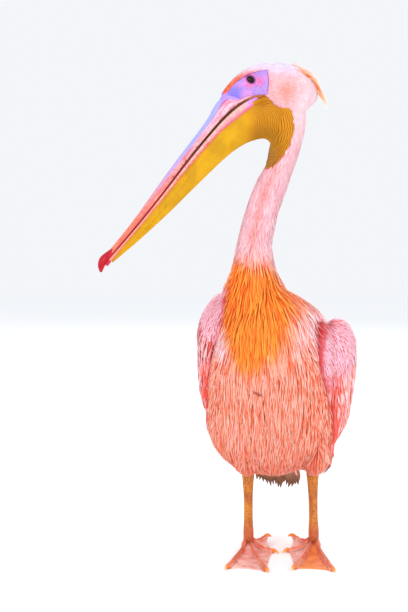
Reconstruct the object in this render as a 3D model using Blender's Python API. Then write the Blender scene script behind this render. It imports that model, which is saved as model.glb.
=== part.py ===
"""A great white pelican, life size, standing still with its head turned to its right.

Metres, +Z up. The bird faces -Y and its left side is at +X. Everything is modelled about its
stance, the point on the floor midway between its shanks, and is moved at the very end so that
the origin lies under the middle of the whole model, on the floor.
"""

import math

import bmesh
import bpy
from mathutils import Matrix, Vector

# ---------------------------------------------------------------- driving dimensions
GAP = 0.0004  # clearance left between pieces that touch
CRUMB = 0.000004  # edges shorter than this are closed up after a cut
LEFT, RIGHT = 1, -1  # the bird's own sides

TRUNK_CENTRE = Vector((-0.016, -0.040, 0.350))
TRUNK_PITCH = math.radians(50)  # how far the breast is raised above the rump
TRUNK_YAW = math.radians(10)  # how far the breast points to the bird's right
TRUNK_ROLL = math.radians(6)  # how far the left shoulder drops

HEAD_YAW = math.radians(64)  # how far the head turns to the bird's right
HEAD_PLACE = Vector((0.0, -0.083, 0.0))  # where the head's middle plane crosses the neck

SHANK_X = 0.0655  # half the distance between the shanks
ANKLE_Y, ANKLE_Z = 0.030, 0.148
TOE_JOINT_Z = 0.030

EYE_RADIUS = 0.0085
CLAW_LENGTH = 0.013

# Frames. BODY holds (left, back along the trunk, up its spine); HEAD holds (forward, left, up).
BODY = (
    Matrix.Translation(TRUNK_CENTRE)
    @ Matrix.Rotation(-TRUNK_YAW, 4, "Z")
    @ Matrix.Rotation(TRUNK_ROLL, 4, "Y")
    @ Matrix.Rotation(-TRUNK_PITCH, 4, "X")
)
HEAD = Matrix.Translation(HEAD_PLACE) @ Matrix.Rotation(-math.pi / 2 - HEAD_YAW, 4, "Z")
WORLD = Matrix.Identity(4)


# ---------------------------------------------------------------- tools
def clear_scene():
    for obj in list(bpy.data.objects):
        bpy.data.objects.remove(obj)


def finish_of(name, colour, roughness):
    """One plain material."""
    material = bpy.data.materials.new(name)
    material.use_nodes = True
    shader = material.node_tree.nodes["Principled BSDF"]
    shader.inputs["Base Color"].default_value = (*colour, 1)
    shader.inputs["Roughness"].default_value = roughness
    shader.inputs["Metallic"].default_value = 0.0
    return material


def smooth(rows, count):
    """count rows read from a smooth curve through the given rows of numbers."""
    last = len(rows) - 1
    found = []
    for i in range(count):
        place = last * i / (count - 1)
        k = min(int(place), last - 1)
        t = place - k
        near = [rows[min(max(j, 0), last)] for j in (k - 1, k, k + 1, k + 2)]
        found.append([
            0.5 * (2 * b + (c - a) * t + (2 * a - 5 * b + 4 * c - d) * t**2 + (3 * b - a - 3 * c + d) * t**3)
            for a, b, c, d in zip(*near)
        ])
    return found


def oval(centre, side, up, half_side, half_up, half_down, around, power=1.0, power_below=None):
    """A closed ring. A power under 1 squares it."""
    ring = []
    for i in range(around):
        angle = 2 * math.pi * i / around
        if math.sin(angle) < 0 and power_below:
            power = power_below
        across = math.copysign(abs(math.cos(angle)) ** power, math.cos(angle))
        along = math.copysign(abs(math.sin(angle)) ** power, math.sin(angle))
        ring.append(centre + side * half_side * across + up * (half_up if along > 0 else half_down) * along)
    return ring


def solid(name, rings, frame, finish):
    """A closed solid through rings, its two ends closed with fans."""
    mesh = bmesh.new()
    loops = [[mesh.verts.new(frame @ p) for p in ring] for ring in rings]
    for one, two in zip(loops, loops[1:]):
        for k in range(len(one)):
            n = (k + 1) % len(one)
            mesh.faces.new((one[k], one[n], two[n], two[k]))
    for loop in (loops[0], loops[-1]):
        middle = sum((v.co for v in loop), Vector()) / len(loop)
        hub = mesh.verts.new(middle)
        for k in range(len(loop)):
            mesh.faces.new((loop[k], loop[(k + 1) % len(loop)], hub))
    return node_from(mesh, name, finish)


def node_from(mesh, name, finish):
    bmesh.ops.triangulate(mesh, faces=mesh.faces)
    bmesh.ops.recalc_face_normals(mesh, faces=mesh.faces)
    data = bpy.data.meshes.new(name)
    mesh.to_mesh(data)
    mesh.free()
    data.materials.append(finish)
    data.shade_smooth()
    data.set_sharp_from_angle(angle=math.radians(50))
    obj = bpy.data.objects.new(name, data)
    bpy.context.scene.collection.objects.link(obj)
    return obj


def tube(name, rows, around, frame, finish, power=1.0):
    """A solid along a path. Rows hold x, y, z, half width and half depth."""
    places = [Vector(row[:3]) for row in rows]
    rings = []
    for i, row in enumerate(rows):
        way = (places[min(i + 1, len(rows) - 1)] - places[max(i - 1, 0)]).normalized()
        side = Vector((0, 1, 0)).cross(way).normalized()
        rings.append(oval(places[i], side, way.cross(side), row[3], row[4], row[4], around, power))
    return solid(name, rings, frame, finish)


def helper(obj):
    obj.hide_render = True
    obj.display_type = "WIRE"
    return obj


def fattened(obj):
    """A hidden copy of obj, one GAP larger all round."""
    copy = helper(obj.copy())
    copy.data = obj.data.copy()
    copy.name = obj.name + ".gap"
    bpy.context.scene.collection.objects.link(copy)
    swell = copy.modifiers.new("gap", "DISPLACE")
    swell.strength, swell.mid_level = GAP, 0.0
    return copy


def boolean(obj, other, operation="DIFFERENCE"):
    cut = obj.modifiers.new(operation.lower(), "BOOLEAN")
    cut.operation, cut.object = operation, other


def make_room(obj, *rooms):
    """Cuts each room, the fattened copy of a neighbour, out of obj, and keeps obj's main body."""
    for room in rooms:
        boolean(obj, room)
        keep_largest(obj)


def evaluated_mesh(obj):
    bpy.context.view_layer.update()
    graph = bpy.context.evaluated_depsgraph_get()
    return bpy.data.meshes.new_from_object(obj.evaluated_get(graph))


def keep_largest(obj):
    """Applies obj's cuts and drops the crumbs that they leave beside the main body."""
    mesh = bmesh.new()
    mesh.from_mesh(evaluated_mesh(obj))
    bmesh.ops.triangulate(mesh, faces=mesh.faces)
    bmesh.ops.dissolve_degenerate(mesh, edges=mesh.edges, dist=CRUMB)
    left, bodies = set(mesh.faces), []
    while left:
        body, edge = set(), [left.pop()]
        while edge:
            face = edge.pop()
            body.add(face)
            near = {f for e in face.edges if len(e.link_faces) == 2 for f in e.link_faces} & left
            left -= near
            edge.extend(near)
        bodies.append(body)
    bodies.sort(key=len)
    bmesh.ops.delete(mesh, geom=[f for body in bodies[:-1] for f in body], context="FACES")
    mesh.to_mesh(obj.data)
    mesh.free()
    obj.modifiers.clear()


# ---------------------------------------------------------------- flesh: trunk, neck and head in one
TRUNK_ROWS = (  # back along the trunk; shift to the left; half width; depth above and below its axis
    (-0.232, 0.000, 0.016, 0.014, 0.018),
    (-0.212, 0.000, 0.056, 0.042, 0.062),
    (-0.150, 0.000, 0.104, 0.074, 0.112),
    (-0.060, 0.000, 0.129, 0.092, 0.128),
    (0.030, -0.004, 0.128, 0.096, 0.130),
    (0.110, -0.013, 0.120, 0.084, 0.126),
    (0.180, -0.015, 0.092, 0.062, 0.098),
    (0.230, -0.008, 0.050, 0.036, 0.050),
    (0.246, 0.000, 0.016, 0.014, 0.016),
)
BELLY_POWER = 0.78  # how square the trunk's lower half is across: 1 is an ellipse
NECK_ROWS = (  # middle of the neck, then half its width and half its depth
    (-0.050, -0.100, 0.410, 0.094, 0.088),
    (-0.058, -0.118, 0.480, 0.082, 0.080),
    (-0.061, -0.127, 0.535, 0.060, 0.062),
    (-0.063, -0.126, 0.585, 0.040, 0.044),
    (-0.058, -0.114, 0.635, 0.0325, 0.035),
    (-0.043, -0.098, 0.690, 0.0305, 0.032),
    (-0.020, -0.082, 0.750, 0.0295, 0.031),
    (-0.003, -0.077, 0.800, 0.0295, 0.033),
    (0.006, -0.078, 0.850, 0.031, 0.036),
    (0.004, -0.080, 0.890, 0.026, 0.030),
)
SKULL_ROWS = (  # forward, height; half width; depth above and below
    (-0.056, 0.884, 0.010, 0.012, 0.012),
    (-0.046, 0.892, 0.024, 0.028, 0.030),
    (-0.018, 0.906, 0.034, 0.042, 0.046),
    (0.020, 0.912, 0.0365, 0.046, 0.048),
    (0.060, 0.906, 0.0325, 0.045, 0.034),
    (0.096, 0.889, 0.0265, 0.037, 0.024),
    (0.124, 0.868, 0.0215, 0.025, 0.018),
    (0.138, 0.854, 0.0180, 0.018, 0.014),
)
NECK_CUTS = {"trunk": 0.575, "neck_lower": 0.695, "neck_upper": 0.815, "head": 1.2}


def flesh(finish):
    """The trunk, neck and skull melted into one smooth body."""
    trunk = solid(
        "trunk_form",
        [oval(Vector((x, y, 0)), Vector((1, 0, 0)), Vector((0, 0, 1)), w, up, down, 36, 1.0, BELLY_POWER)
         for y, x, w, up, down in smooth(TRUNK_ROWS, 28)],
        BODY, finish,
    )
    neck = tube("neck_form", smooth(NECK_ROWS, 30), 24, WORLD, finish)
    rows = smooth(SKULL_ROWS, 22)
    rings = []
    for i, (a, z, w, up, down) in enumerate(rows):
        one, two = rows[max(i - 1, 0)], rows[min(i + 1, len(rows) - 1)]
        rise = Vector((one[1] - two[1], 0, two[0] - one[0])).normalized()
        rings.append(oval(Vector((a, 0, z)), Vector((0, 1, 0)), rise, w, up, down, 24))
    skull = solid("skull_form", rings, HEAD, finish)
    for form in (neck, skull):
        boolean(trunk, helper(form), "UNION")
    helper(trunk)
    melt = trunk.modifiers.new("melt", "REMESH")
    melt.mode, melt.voxel_size = "VOXEL", 0.005
    soften = trunk.modifiers.new("soften", "SMOOTH")
    soften.factor, soften.iterations = 0.5, 6
    thin = trunk.modifiers.new("thin", "DECIMATE")
    thin.ratio = 0.0138
    return evaluated_mesh(trunk)


def part_flesh(whole, finish):
    """Cuts the melted body across into trunk, two lengths of neck, and head."""
    parts, low = {}, -1.0
    for name, high in NECK_CUTS.items():
        mesh = bmesh.new()
        mesh.from_mesh(whole)
        for height, normal in ((low + GAP / 2, -1), (high - GAP / 2, 1)):
            every = mesh.verts[:] + mesh.edges[:] + mesh.faces[:]
            bmesh.ops.bisect_plane(
                mesh, geom=every, plane_co=(0, 0, height), plane_no=(0, 0, normal), clear_outer=True
            )
            rim = [e for e in mesh.edges if e.is_boundary]
            if rim:
                bmesh.ops.holes_fill(mesh, edges=rim)
        parts[name] = node_from(mesh, name, finish)
        low = high
    return parts


# ---------------------------------------------------------------- bill and pouch, in the head's frame
GAPE = (  # the mouth's line, from its corner to the bill's tip: forward, height
    (0.054, 0.893),
    (0.080, 0.891),
    (0.107, 0.878),
    (0.134, 0.857),
    (0.1625, 0.828),
    (0.208, 0.777),
    (0.254, 0.722),
    (0.300, 0.6685),
    (0.346, 0.6185),
    (0.371, 0.5925),
)
MOUTH_SWELL = 0.0016  # how far each jaw's biting face swells towards the other


def along_gape(count, first=0.0, last=1.0):
    """(point, upward normal) at even steps from first to last of the mouth's line."""
    line = [Vector((a, 0, z)) for a, z in smooth(GAPE, 121)]
    found = []
    for i in range(count):
        k = min(max(round((first + (last - first) * i / (count - 1)) * 120), 0), 120)
        way = (line[min(k + 1, 120)] - line[max(k - 1, 0)]).normalized()
        found.append((line[k], Vector((-way.z, 0, way.x))))
    return found


def jaw(name, rows, first, last, upper, finish, around=14, power=0.8):
    """A jaw along the mouth's line. Rows hold its half width and its depth from the biting face."""
    steps = 15
    rings = []
    for (point, rise), (wide, deep) in zip(along_gape(steps, first, last), smooth(rows, steps)):
        rise = rise if upper else -rise
        centre = point + rise * (MOUTH_SWELL + GAP / 2)
        rings.append(oval(centre, Vector((0, 1, 0)), rise, wide, deep, MOUTH_SWELL, around, power))
    return solid(name, rings, HEAD, finish)


UPPER_ROWS = ((0.0205, 0.0235), (0.0185, 0.0150), (0.0158, 0.0112), (0.0146, 0.0102), (0.0136, 0.0086),
              (0.0120, 0.0054), (0.0104, 0.0036), (0.0098, 0.0036))
LOWER_ROWS = ((0.0120, 0.0120), (0.0235, 0.0185), (0.0215, 0.0222), (0.0180, 0.0165), (0.0155, 0.0112),
              (0.0134, 0.0080), (0.0108, 0.0062), (0.0070, 0.0092))
NAIL_ROWS = (  # forward, 0, height, half width, half depth
    (0.3460, 0, 0.6150, 0.0084, 0.0036),
    (0.3570, 0, 0.6030, 0.0098, 0.0056),
    (0.3685, 0, 0.5935, 0.0096, 0.0074),
    (0.3765, 0, 0.5855, 0.0072, 0.0064),
    (0.3795, 0, 0.5770, 0.0024, 0.0022),
)
POUCH_ROWS = (  # upper edge, lower edge (forward, height), half width above and below
    (0.356, 0.6015, 0.352, 0.5930, 0.0030, 0.0025),
    (0.316, 0.642, 0.304, 0.6295, 0.0080, 0.0032),
    (0.260, 0.707, 0.245, 0.6780, 0.0105, 0.0036),
    (0.203, 0.773, 0.188, 0.7285, 0.0125, 0.0040),
    (0.146, 0.837, 0.130, 0.7785, 0.0150, 0.0042),
    (0.098, 0.871, 0.094, 0.8025, 0.0195, 0.0044),
    (0.051, 0.879, 0.066, 0.8132, 0.0260, 0.0048),
    (0.014, 0.873, 0.047, 0.815, 0.0315, 0.0052),
    (-0.013, 0.855, 0.036, 0.806, 0.0325, 0.0056),
    (-0.014, 0.824, 0.033, 0.793, 0.0325, 0.0058),
    (-0.002, 0.793, 0.034, 0.780, 0.0320, 0.0060),
    (0.018, 0.769, 0.038, 0.769, 0.0240, 0.0060),
    (0.031, 0.757, 0.041, 0.763, 0.0100, 0.0050),
)


def pouch_solid(finish):
    """The empty pouch: a sail hung from the lower jaw, wrapping the throat at its back."""
    around = 12
    rings = []
    for ua, uz, la, lz, above, below in smooth(POUCH_ROWS, 18):
        top, bottom = Vector((ua, 0, uz)), Vector((la, 0, lz))
        ring = []
        for k in range(around):
            angle = 2 * math.pi * k / around
            down = (1 - math.cos(angle)) / 2
            across = math.copysign(abs(math.sin(angle)) ** 0.6, math.sin(angle))
            wide = above * (1 - down) + below * down
            ring.append(top.lerp(bottom, down) + Vector((0, across * wide, 0)))
        rings.append(ring)
    return solid("pouch", rings, HEAD, finish)


EYE_PLACE = (0.0895, 0.0262, 0.9196)  # forward, to the side, height


def eye(side, finish):
    mesh = bmesh.new()
    bmesh.ops.create_uvsphere(mesh, u_segments=10, v_segments=7, radius=EYE_RADIUS)
    forward, out, height = EYE_PLACE
    mesh.transform(HEAD @ Matrix.Translation((forward, side * (out - 0.0045), height)))
    return node_from(mesh, "eye_left" if side == LEFT else "eye_right", finish)


CREST_ROWS = (  # forward, 0, height, half width, half depth
    (-0.006, 0, 0.9460, 0.0150, 0.0050),
    (-0.026, 0, 0.9390, 0.0150, 0.0070),
    (-0.046, 0, 0.9250, 0.0120, 0.0070),
    (-0.062, 0, 0.9070, 0.0080, 0.0050),
    (-0.074, 0, 0.8870, 0.0030, 0.0018),
)


# ---------------------------------------------------------------- wings and tail, in the body's frame
WING_ROWS = (  # back along the trunk; side; height; half height; half thickness; bend radius
    (-0.160, 0.104, 0.028, 0.012, 0.008, 0.10),
    (-0.146, 0.111, 0.026, 0.038, 0.022, 0.11),
    (-0.105, 0.121, 0.024, 0.066, 0.032, 0.12),
    (-0.030, 0.129, 0.016, 0.092, 0.027, 0.13),
    (0.055, 0.129, 0.005, 0.098, 0.022, 0.13),
    (0.130, 0.111, 0.010, 0.080, 0.018, 0.13),
    (0.200, 0.082, 0.022, 0.054, 0.015, 0.15),
    (0.262, 0.052, 0.028, 0.032, 0.011, 0.20),
    (0.300, 0.036, 0.028, 0.012, 0.006, 0.20),
)
QUILL_ROWS = (  # the black flight feathers, bundled under the wing's lower edge
    (0.020, 0.118, -0.060, 0.010, 0.0030, 0.13),
    (0.085, 0.113, -0.050, 0.022, 0.0045, 0.13),
    (0.150, 0.096, -0.026, 0.024, 0.0050, 0.14),
    (0.220, 0.064, 0.006, 0.023, 0.0050, 0.18),
    (0.290, 0.034, 0.018, 0.018, 0.0045, 0.22),
    (0.345, 0.019, 0.020, 0.007, 0.0030, 0.22),
)
WING_LIFT = 0.028  # how much higher the right wing is held than the left


def wing_layer(name, rows, side, finish, steps, around=24):
    """A feathered layer that wraps the trunk's side, as lens-shaped rings bent round its length."""
    rings = []
    lift = WING_LIFT / 2 * (1 if side == RIGHT else -1)
    for y, out, up, tall, thick, bend in smooth(rows, steps):
        ring = []
        for k in range(around):
            angle = 2 * math.pi * k / around
            turn = tall * math.cos(angle) / bend
            reach = bend + thick * math.copysign(abs(math.sin(angle)) ** 0.8, math.sin(angle))
            x = out - bend + reach * math.cos(turn)
            ring.append(Vector((side * x, y - lift, up + reach * math.sin(turn))))
        rings.append(ring)
    return solid(name, rings, BODY, finish)


TAIL_ROWS = (  # back; height; half width; half thickness
    (0.170, -0.004, 0.030, 0.012),
    (0.230, -0.001, 0.038, 0.011),
    (0.280, 0.002, 0.047, 0.008),
    (0.325, 0.002, 0.053, 0.006),
    (0.352, 0.001, 0.042, 0.0045),
    (0.360, 0.000, 0.025, 0.0030),
)
TAIL_SET = 0.010  # how far the tail is swung to the left
TAIL_ARCH = 5.0  # how strongly the fan of tail feathers arches across, per metre


def tail_solid(finish):
    rings = []
    for y, up, wide, thick in smooth(TAIL_ROWS, 9):
        ring = oval(Vector((0, y, up)), Vector((1, 0, 0)), Vector((0, 0, 1)), wide, thick, thick, 16)
        for point in ring:
            point.z -= TAIL_ARCH * point.x**2
            point.x += TAIL_SET
        rings.append(ring)
    return solid("tail", rings, BODY, finish)


# ---------------------------------------------------------------- legs and feet
def side_name(part, side):
    return f"{part}_{'left' if side == LEFT else 'right'}"


def thigh_rows(side):
    x = side * SHANK_X
    return (
        (x * 0.82, -0.022, 0.240, 0.030, 0.042),
        (x * 1.00, -0.006, 0.210, 0.036, 0.046),
        (x * 1.04, 0.010, 0.182, 0.031, 0.038),
        (x * 1.00, 0.026, 0.160, 0.0165, 0.021),
        (x * 1.00, 0.031, 0.149, 0.0100, 0.0125),
    )


def shank_rows(side):
    x = side * SHANK_X
    return (
        (x, ANKLE_Y + 0.004, ANKLE_Z + 0.014, 0.0100, 0.0125),
        (x, ANKLE_Y + 0.002, ANKLE_Z, 0.0120, 0.0150),
        (x, ANKLE_Y - 0.002, ANKLE_Z - 0.018, 0.0098, 0.0125),
        (x, 0.018, 0.100, 0.0080, 0.0112),
        (x, 0.008, 0.062, 0.0082, 0.0110),
        (x, 0.000, 0.040, 0.0105, 0.0120),
        (x, -0.002, TOE_JOINT_Z + GAP, 0.0115, 0.0120),
    )


# Each toe: its angle from straight ahead towards the other foot, and its length with the claw.
TOES = {
    LEFT: {"outer": (-10, 0.152), "middle": (21, 0.146), "inner": (70, 0.068), "hind": (124, 0.060)},
    RIGHT: {"outer": (-20, 0.142), "middle": (11.5, 0.154), "inner": (64, 0.066), "hind": (124, 0.058)},
}
WEB = 0.0030  # thickness of the skin between the toes
HEEL = 0.0145  # how far the sole reaches behind the joint
WEB_BOW = 0.05  # how far a web's free edge curves in, as a share of its reach
HIND_RISE = 0.016  # how high the hind toe's tip is held
TOE_HALF_WIDTH = 0.0065
TOE_ROOT_SPREAD = 11  # degrees a toe takes up on the ring it starts from
ROOT_RING = 0.009


def toe_way(side, degrees):
    angle = math.radians(degrees)
    return Vector((-side * math.sin(angle), -math.cos(angle), 0))


def toe_profile(share):
    """Height of a toe's back above the sole, with its two knuckles."""
    knuckles = sum(0.0016 * math.exp(-(((share - k) / 0.07) ** 2)) for k in (0.42, 0.72))
    return 0.0105 - 0.002 * share + 0.0185 * (1 - share) ** 4 + knuckles


def web_profile(share):
    return WEB + 0.021 * (1 - share) ** 5


def foot_columns(side):
    """(start, end, profile, rise at the end) of each line that fans out from the joint."""
    joint = Vector((side * SHANK_X, -0.002, 0))
    toes = list(TOES[side].values())
    columns = []
    for n, (degrees, length) in enumerate(toes):
        way, off = toe_way(side, degrees), toe_way(side, degrees + 90)
        rise = HIND_RISE if n == 3 else 0.0
        for across in (-1.0, -0.6, 0.0, 0.6, 1.0):
            flank = 0.35 + 0.65 * (1 - across**2) ** 0.5
            end = way * (length - CLAW_LENGTH * 0.8 - 0.005 * across**2) + off * TOE_HALF_WIDTH * across

            def profile(share, flank=flank):
                return max(web_profile(share), toe_profile(share) * flank)

            start = toe_way(side, degrees + TOE_ROOT_SPREAD * across) * ROOT_RING
            columns.append((joint + start, joint + end, profile, rise))
        if n < 3:
            next_degrees, next_length = toes[n + 1]
            reach_one, reach_two = length - CLAW_LENGTH, next_length - CLAW_LENGTH
            spread = math.radians(next_degrees - degrees)
            for share in (0.2, 0.4, 0.6, 0.8):
                turn = spread * share
                chord = reach_one * reach_two * math.sin(spread) / (
                    reach_one * math.sin(turn) + reach_two * math.sin(spread - turn)
                )
                reach = chord * (1 - WEB_BOW * 4 * share * (1 - share))
                root = degrees + TOE_ROOT_SPREAD + (next_degrees - degrees - 2 * TOE_ROOT_SPREAD) * share
                start = toe_way(side, root) * ROOT_RING
                end = toe_way(side, degrees + math.degrees(turn)) * reach
                rise = HIND_RISE * share if n == 2 else 0.0
                columns.append((joint + start, joint + end, web_profile, rise))
    first, last = toes[0][0] - TOE_ROOT_SPREAD, toes[3][0] + TOE_ROOT_SPREAD
    for k in range(1, 7):
        way = toe_way(side, last + (360 + first - last) * k / 7)
        columns.append((joint + way * ROOT_RING, joint + way * HEEL, lambda share: 0.026 - 0.014 * share, 0.0))
    return joint, columns


def foot_solid(side, finish, rows=5):
    """Four toes in one web: a flat sole below, and the backs of toes and web above."""
    joint, columns = foot_columns(side)
    mesh = bmesh.new()
    tops, soles = [], []
    for start, end, profile, rise in columns:
        top, sole = [], []
        for r in range(rows):
            share = (r / (rows - 1)) ** 1.3
            place = start.lerp(end, share)
            lift = rise * share
            edge = 0.55 if r == rows - 1 else 1.0
            top.append(mesh.verts.new(place + Vector((0, 0, lift + profile(share) * edge))))
            sole.append(mesh.verts.new(place + Vector((0, 0, lift))))
        tops.append(top)
        soles.append(sole)
    crown = mesh.verts.new(joint + Vector((0, 0, TOE_JOINT_Z)))
    base = mesh.verts.new(joint)
    for n in range(len(columns)):
        m = (n + 1) % len(columns)
        for r in range(rows - 1):
            mesh.faces.new((tops[n][r], tops[n][r + 1], tops[m][r + 1], tops[m][r]))
            mesh.faces.new((soles[m][r], soles[m][r + 1], soles[n][r + 1], soles[n][r]))
        mesh.faces.new((tops[n][-1], soles[n][-1], soles[m][-1], tops[m][-1]))
        mesh.faces.new((crown, tops[n][0], tops[m][0]))
        mesh.faces.new((base, soles[m][0], soles[n][0]))
    return node_from(mesh, side_name("foot", side), finish)


def claw_solid(side, toe, finish):
    """A short hooked claw, rooted in the end of its toe."""
    degrees, length = TOES[side][toe]
    way = toe_way(side, degrees)
    rise = HIND_RISE if toe == "hind" else 0.0
    root = Vector((side * SHANK_X, -0.002, rise)) + way * (length - CLAW_LENGTH - 0.004)
    across = toe_way(side, degrees + 90)
    rings = []
    for share, high, radius in smooth(((0, 0.0050, 0.0036), (0.45, 0.0062, 0.0036), (0.8, 0.0044, 0.0024),
                                       (1, 0.0016, 0.0011)), 4):
        centre = root + way * (CLAW_LENGTH + 0.004) * share + Vector((0, 0, high))
        rings.append(oval(centre, across, Vector((0, 0, 1)), radius, radius, radius, 6))
    return solid(f"claw_{toe}_{'left' if side == LEFT else 'right'}", rings, WORLD, finish)


# ---------------------------------------------------------------- assembly
def stand_on_origin():
    """Moves the whole model so that the origin is under the middle of its box, on the floor."""
    pieces = [obj for obj in bpy.data.objects if not obj.hide_render]
    corners = [v.co for obj in pieces for v in obj.data.vertices]
    low = [min(c[i] for c in corners) for i in range(3)]
    high = [max(c[i] for c in corners) for i in range(3)]
    shift = Vector((-(low[0] + high[0]) / 2, -(low[1] + high[1]) / 2, -low[2]))
    for obj in pieces:
        obj.data.transform(Matrix.Translation(shift))


def build():
    clear_scene()
    plumage = finish_of("plumage", (0.86, 0.42, 0.36), 0.8)
    covert = finish_of("coverts", (0.88, 0.56, 0.52), 0.8)
    quills = finish_of("flight_feathers", (0.06, 0.05, 0.05), 0.6)
    tail_grey = finish_of("tail_feathers", (0.62, 0.50, 0.44), 0.75)
    plume = finish_of("crest", (0.95, 0.60, 0.32), 0.8)
    horn = finish_of("bill_horn", (0.80, 0.50, 0.50), 0.45)
    nail_red = finish_of("bill_nail", (0.65, 0.03, 0.05), 0.35)
    yellow = finish_of("pouch_skin", (0.75, 0.50, 0.03), 0.5)
    leg_skin = finish_of("leg_skin", (0.72, 0.33, 0.10), 0.55)
    foot_skin = finish_of("foot_skin", (0.85, 0.42, 0.27), 0.5)
    claw_horn = finish_of("claw_horn", (0.90, 0.50, 0.08), 0.4)
    eye_dark = finish_of("eye", (0.02, 0.012, 0.010), 0.08)

    body = part_flesh(flesh(plumage), plumage)
    head, trunk = body["head"], body["trunk"]

    eyes = [eye(side, eye_dark) for side in (LEFT, RIGHT)]
    upper = jaw("bill_upper", UPPER_ROWS, 0.30, 0.955, True, horn)
    lower = jaw("bill_lower", LOWER_ROWS, 0.0, 0.99, False, horn)
    nail_room = fattened(tube("bill_nail", smooth(NAIL_ROWS, 8), 12, HEAD, nail_red))
    pouch = pouch_solid(yellow)
    crest = tube("crest", smooth(CREST_ROWS, 8), 12, HEAD, plume)
    pouch_room, lower_room, head_room = fattened(pouch), fattened(lower), fattened(head)
    make_room(head, *[fattened(ball) for ball in eyes], fattened(upper), lower_room, pouch_room)
    make_room(body["neck_upper"], pouch_room)
    make_room(upper, nail_room)
    make_room(lower, nail_room)
    make_room(pouch, lower_room, nail_room)
    make_room(crest, head_room)

    tail = tail_solid(tail_grey)
    rooms = [fattened(tail)]
    for side in (LEFT, RIGHT):
        wing = wing_layer(side_name("wing", side), WING_ROWS, side, covert, 13, 14)
        flight = wing_layer(side_name("flight_feathers", side), QUILL_ROWS, side, quills, 9, 10)
        thigh = tube(side_name("thigh", side), smooth(thigh_rows(side), 7), 12, WORLD, plumage)
        shank = tube(side_name("shank", side), smooth(shank_rows(side), 9), 12, WORLD, leg_skin)
        wing_room, flight_room, thigh_room, shank_room = map(fattened, (wing, flight, thigh, shank))
        make_room(wing, flight_room)
        make_room(tail, wing_room, flight_room)
        make_room(thigh, shank_room, wing_room, flight_room)
        foot_room = fattened(foot_solid(side, foot_skin))
        for toe in TOES[side]:
            make_room(claw_solid(side, toe, claw_horn), foot_room)
        rooms += [wing_room, flight_room, thigh_room, shank_room]
    make_room(trunk, *rooms)
    stand_on_origin()


build()
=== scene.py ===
"""A great white pelican in pink plumage, standing with its head turned to its right.

Metres, +Z up, the bird facing -Y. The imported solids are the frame: each section below dresses
one part of the bird, from the skin outwards to the feet.
"""

import math

import bmesh
import bpy
import numpy as np
from mathutils import Matrix, Vector
from mathutils.bvhtree import BVHTree
from mathutils.kdtree import KDTree


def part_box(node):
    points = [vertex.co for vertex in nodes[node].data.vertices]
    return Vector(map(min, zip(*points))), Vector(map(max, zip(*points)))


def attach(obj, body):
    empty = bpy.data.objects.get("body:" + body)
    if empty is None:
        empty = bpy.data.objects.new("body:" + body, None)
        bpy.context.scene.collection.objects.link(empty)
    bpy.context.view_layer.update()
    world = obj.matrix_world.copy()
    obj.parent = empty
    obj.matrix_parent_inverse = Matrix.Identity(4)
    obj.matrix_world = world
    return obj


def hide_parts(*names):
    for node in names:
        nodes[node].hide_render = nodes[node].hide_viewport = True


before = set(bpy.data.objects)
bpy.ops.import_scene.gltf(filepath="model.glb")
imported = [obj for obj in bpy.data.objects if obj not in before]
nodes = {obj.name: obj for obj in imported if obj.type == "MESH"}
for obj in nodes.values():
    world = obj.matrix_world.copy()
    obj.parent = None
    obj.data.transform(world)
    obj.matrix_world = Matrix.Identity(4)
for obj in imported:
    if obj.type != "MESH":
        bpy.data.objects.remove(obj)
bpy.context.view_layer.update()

# ---------------------------------------------------------------- skin
# One skin runs unbroken over trunk, neck, head, thighs and folded wings. It lies inside the
# solids by the depth of the coat that grows on it, and carries the same markings as the coat.
LEFT, RIGHT = 1, -1  # the bird's own sides
SIDES = {"left": LEFT, "right": RIGHT}
SKIN_GRAIN = 0.0034  # size of the skin's mesh
SEAM_OVERLAP = 0.0007  # how far the solids are swelled so that they melt into each other
SEAM_ROUNDS = 30  # how softly one part's values pass into the next one's

low_left, high_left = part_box("shank_left")
low_right, high_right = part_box("shank_right")
STANCE = Vector(((low_left.x + high_left.x + low_right.x + high_right.x) / 4, low_left.y + 0.014, 0))

# BODY holds (left, back along the trunk, up its spine); HEAD holds (forward, left, up).
BODY = (
    Matrix.Translation(STANCE + Vector((-0.016, -0.040, 0.350)))
    @ Matrix.Rotation(-math.radians(10), 4, "Z")
    @ Matrix.Rotation(math.radians(6), 4, "Y")
    @ Matrix.Rotation(-math.radians(50), 4, "X")
)
HEAD = Matrix.Translation(STANCE + Vector((0, -0.083, 0))) @ Matrix.Rotation(math.radians(-154), 4, "Z")

SKULL_ROWS = (  # forward, height; half width; depth above and below
    (-0.056, 0.884, 0.010, 0.012, 0.012), (-0.046, 0.892, 0.024, 0.028, 0.030),
    (-0.018, 0.906, 0.034, 0.042, 0.046), (0.020, 0.912, 0.0365, 0.046, 0.048),
    (0.060, 0.906, 0.0325, 0.045, 0.034), (0.096, 0.889, 0.0265, 0.037, 0.024),
    (0.124, 0.868, 0.0215, 0.025, 0.018), (0.138, 0.854, 0.0180, 0.018, 0.014),
)
NECK_ROWS = (  # the middle of the neck about the stance, from its base up; half width, half depth
    (-0.050, -0.100, 0.410, 0.094, 0.088), (-0.061, -0.127, 0.535, 0.060, 0.062),
    (-0.063, -0.126, 0.585, 0.040, 0.044), (-0.058, -0.114, 0.635, 0.0325, 0.035),
    (-0.043, -0.098, 0.690, 0.0305, 0.032), (-0.020, -0.082, 0.750, 0.0295, 0.031),
    (-0.003, -0.077, 0.800, 0.0295, 0.033), (0.006, -0.078, 0.850, 0.031, 0.036),
    (0.004, -0.080, 0.890, 0.026, 0.030),
)


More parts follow.
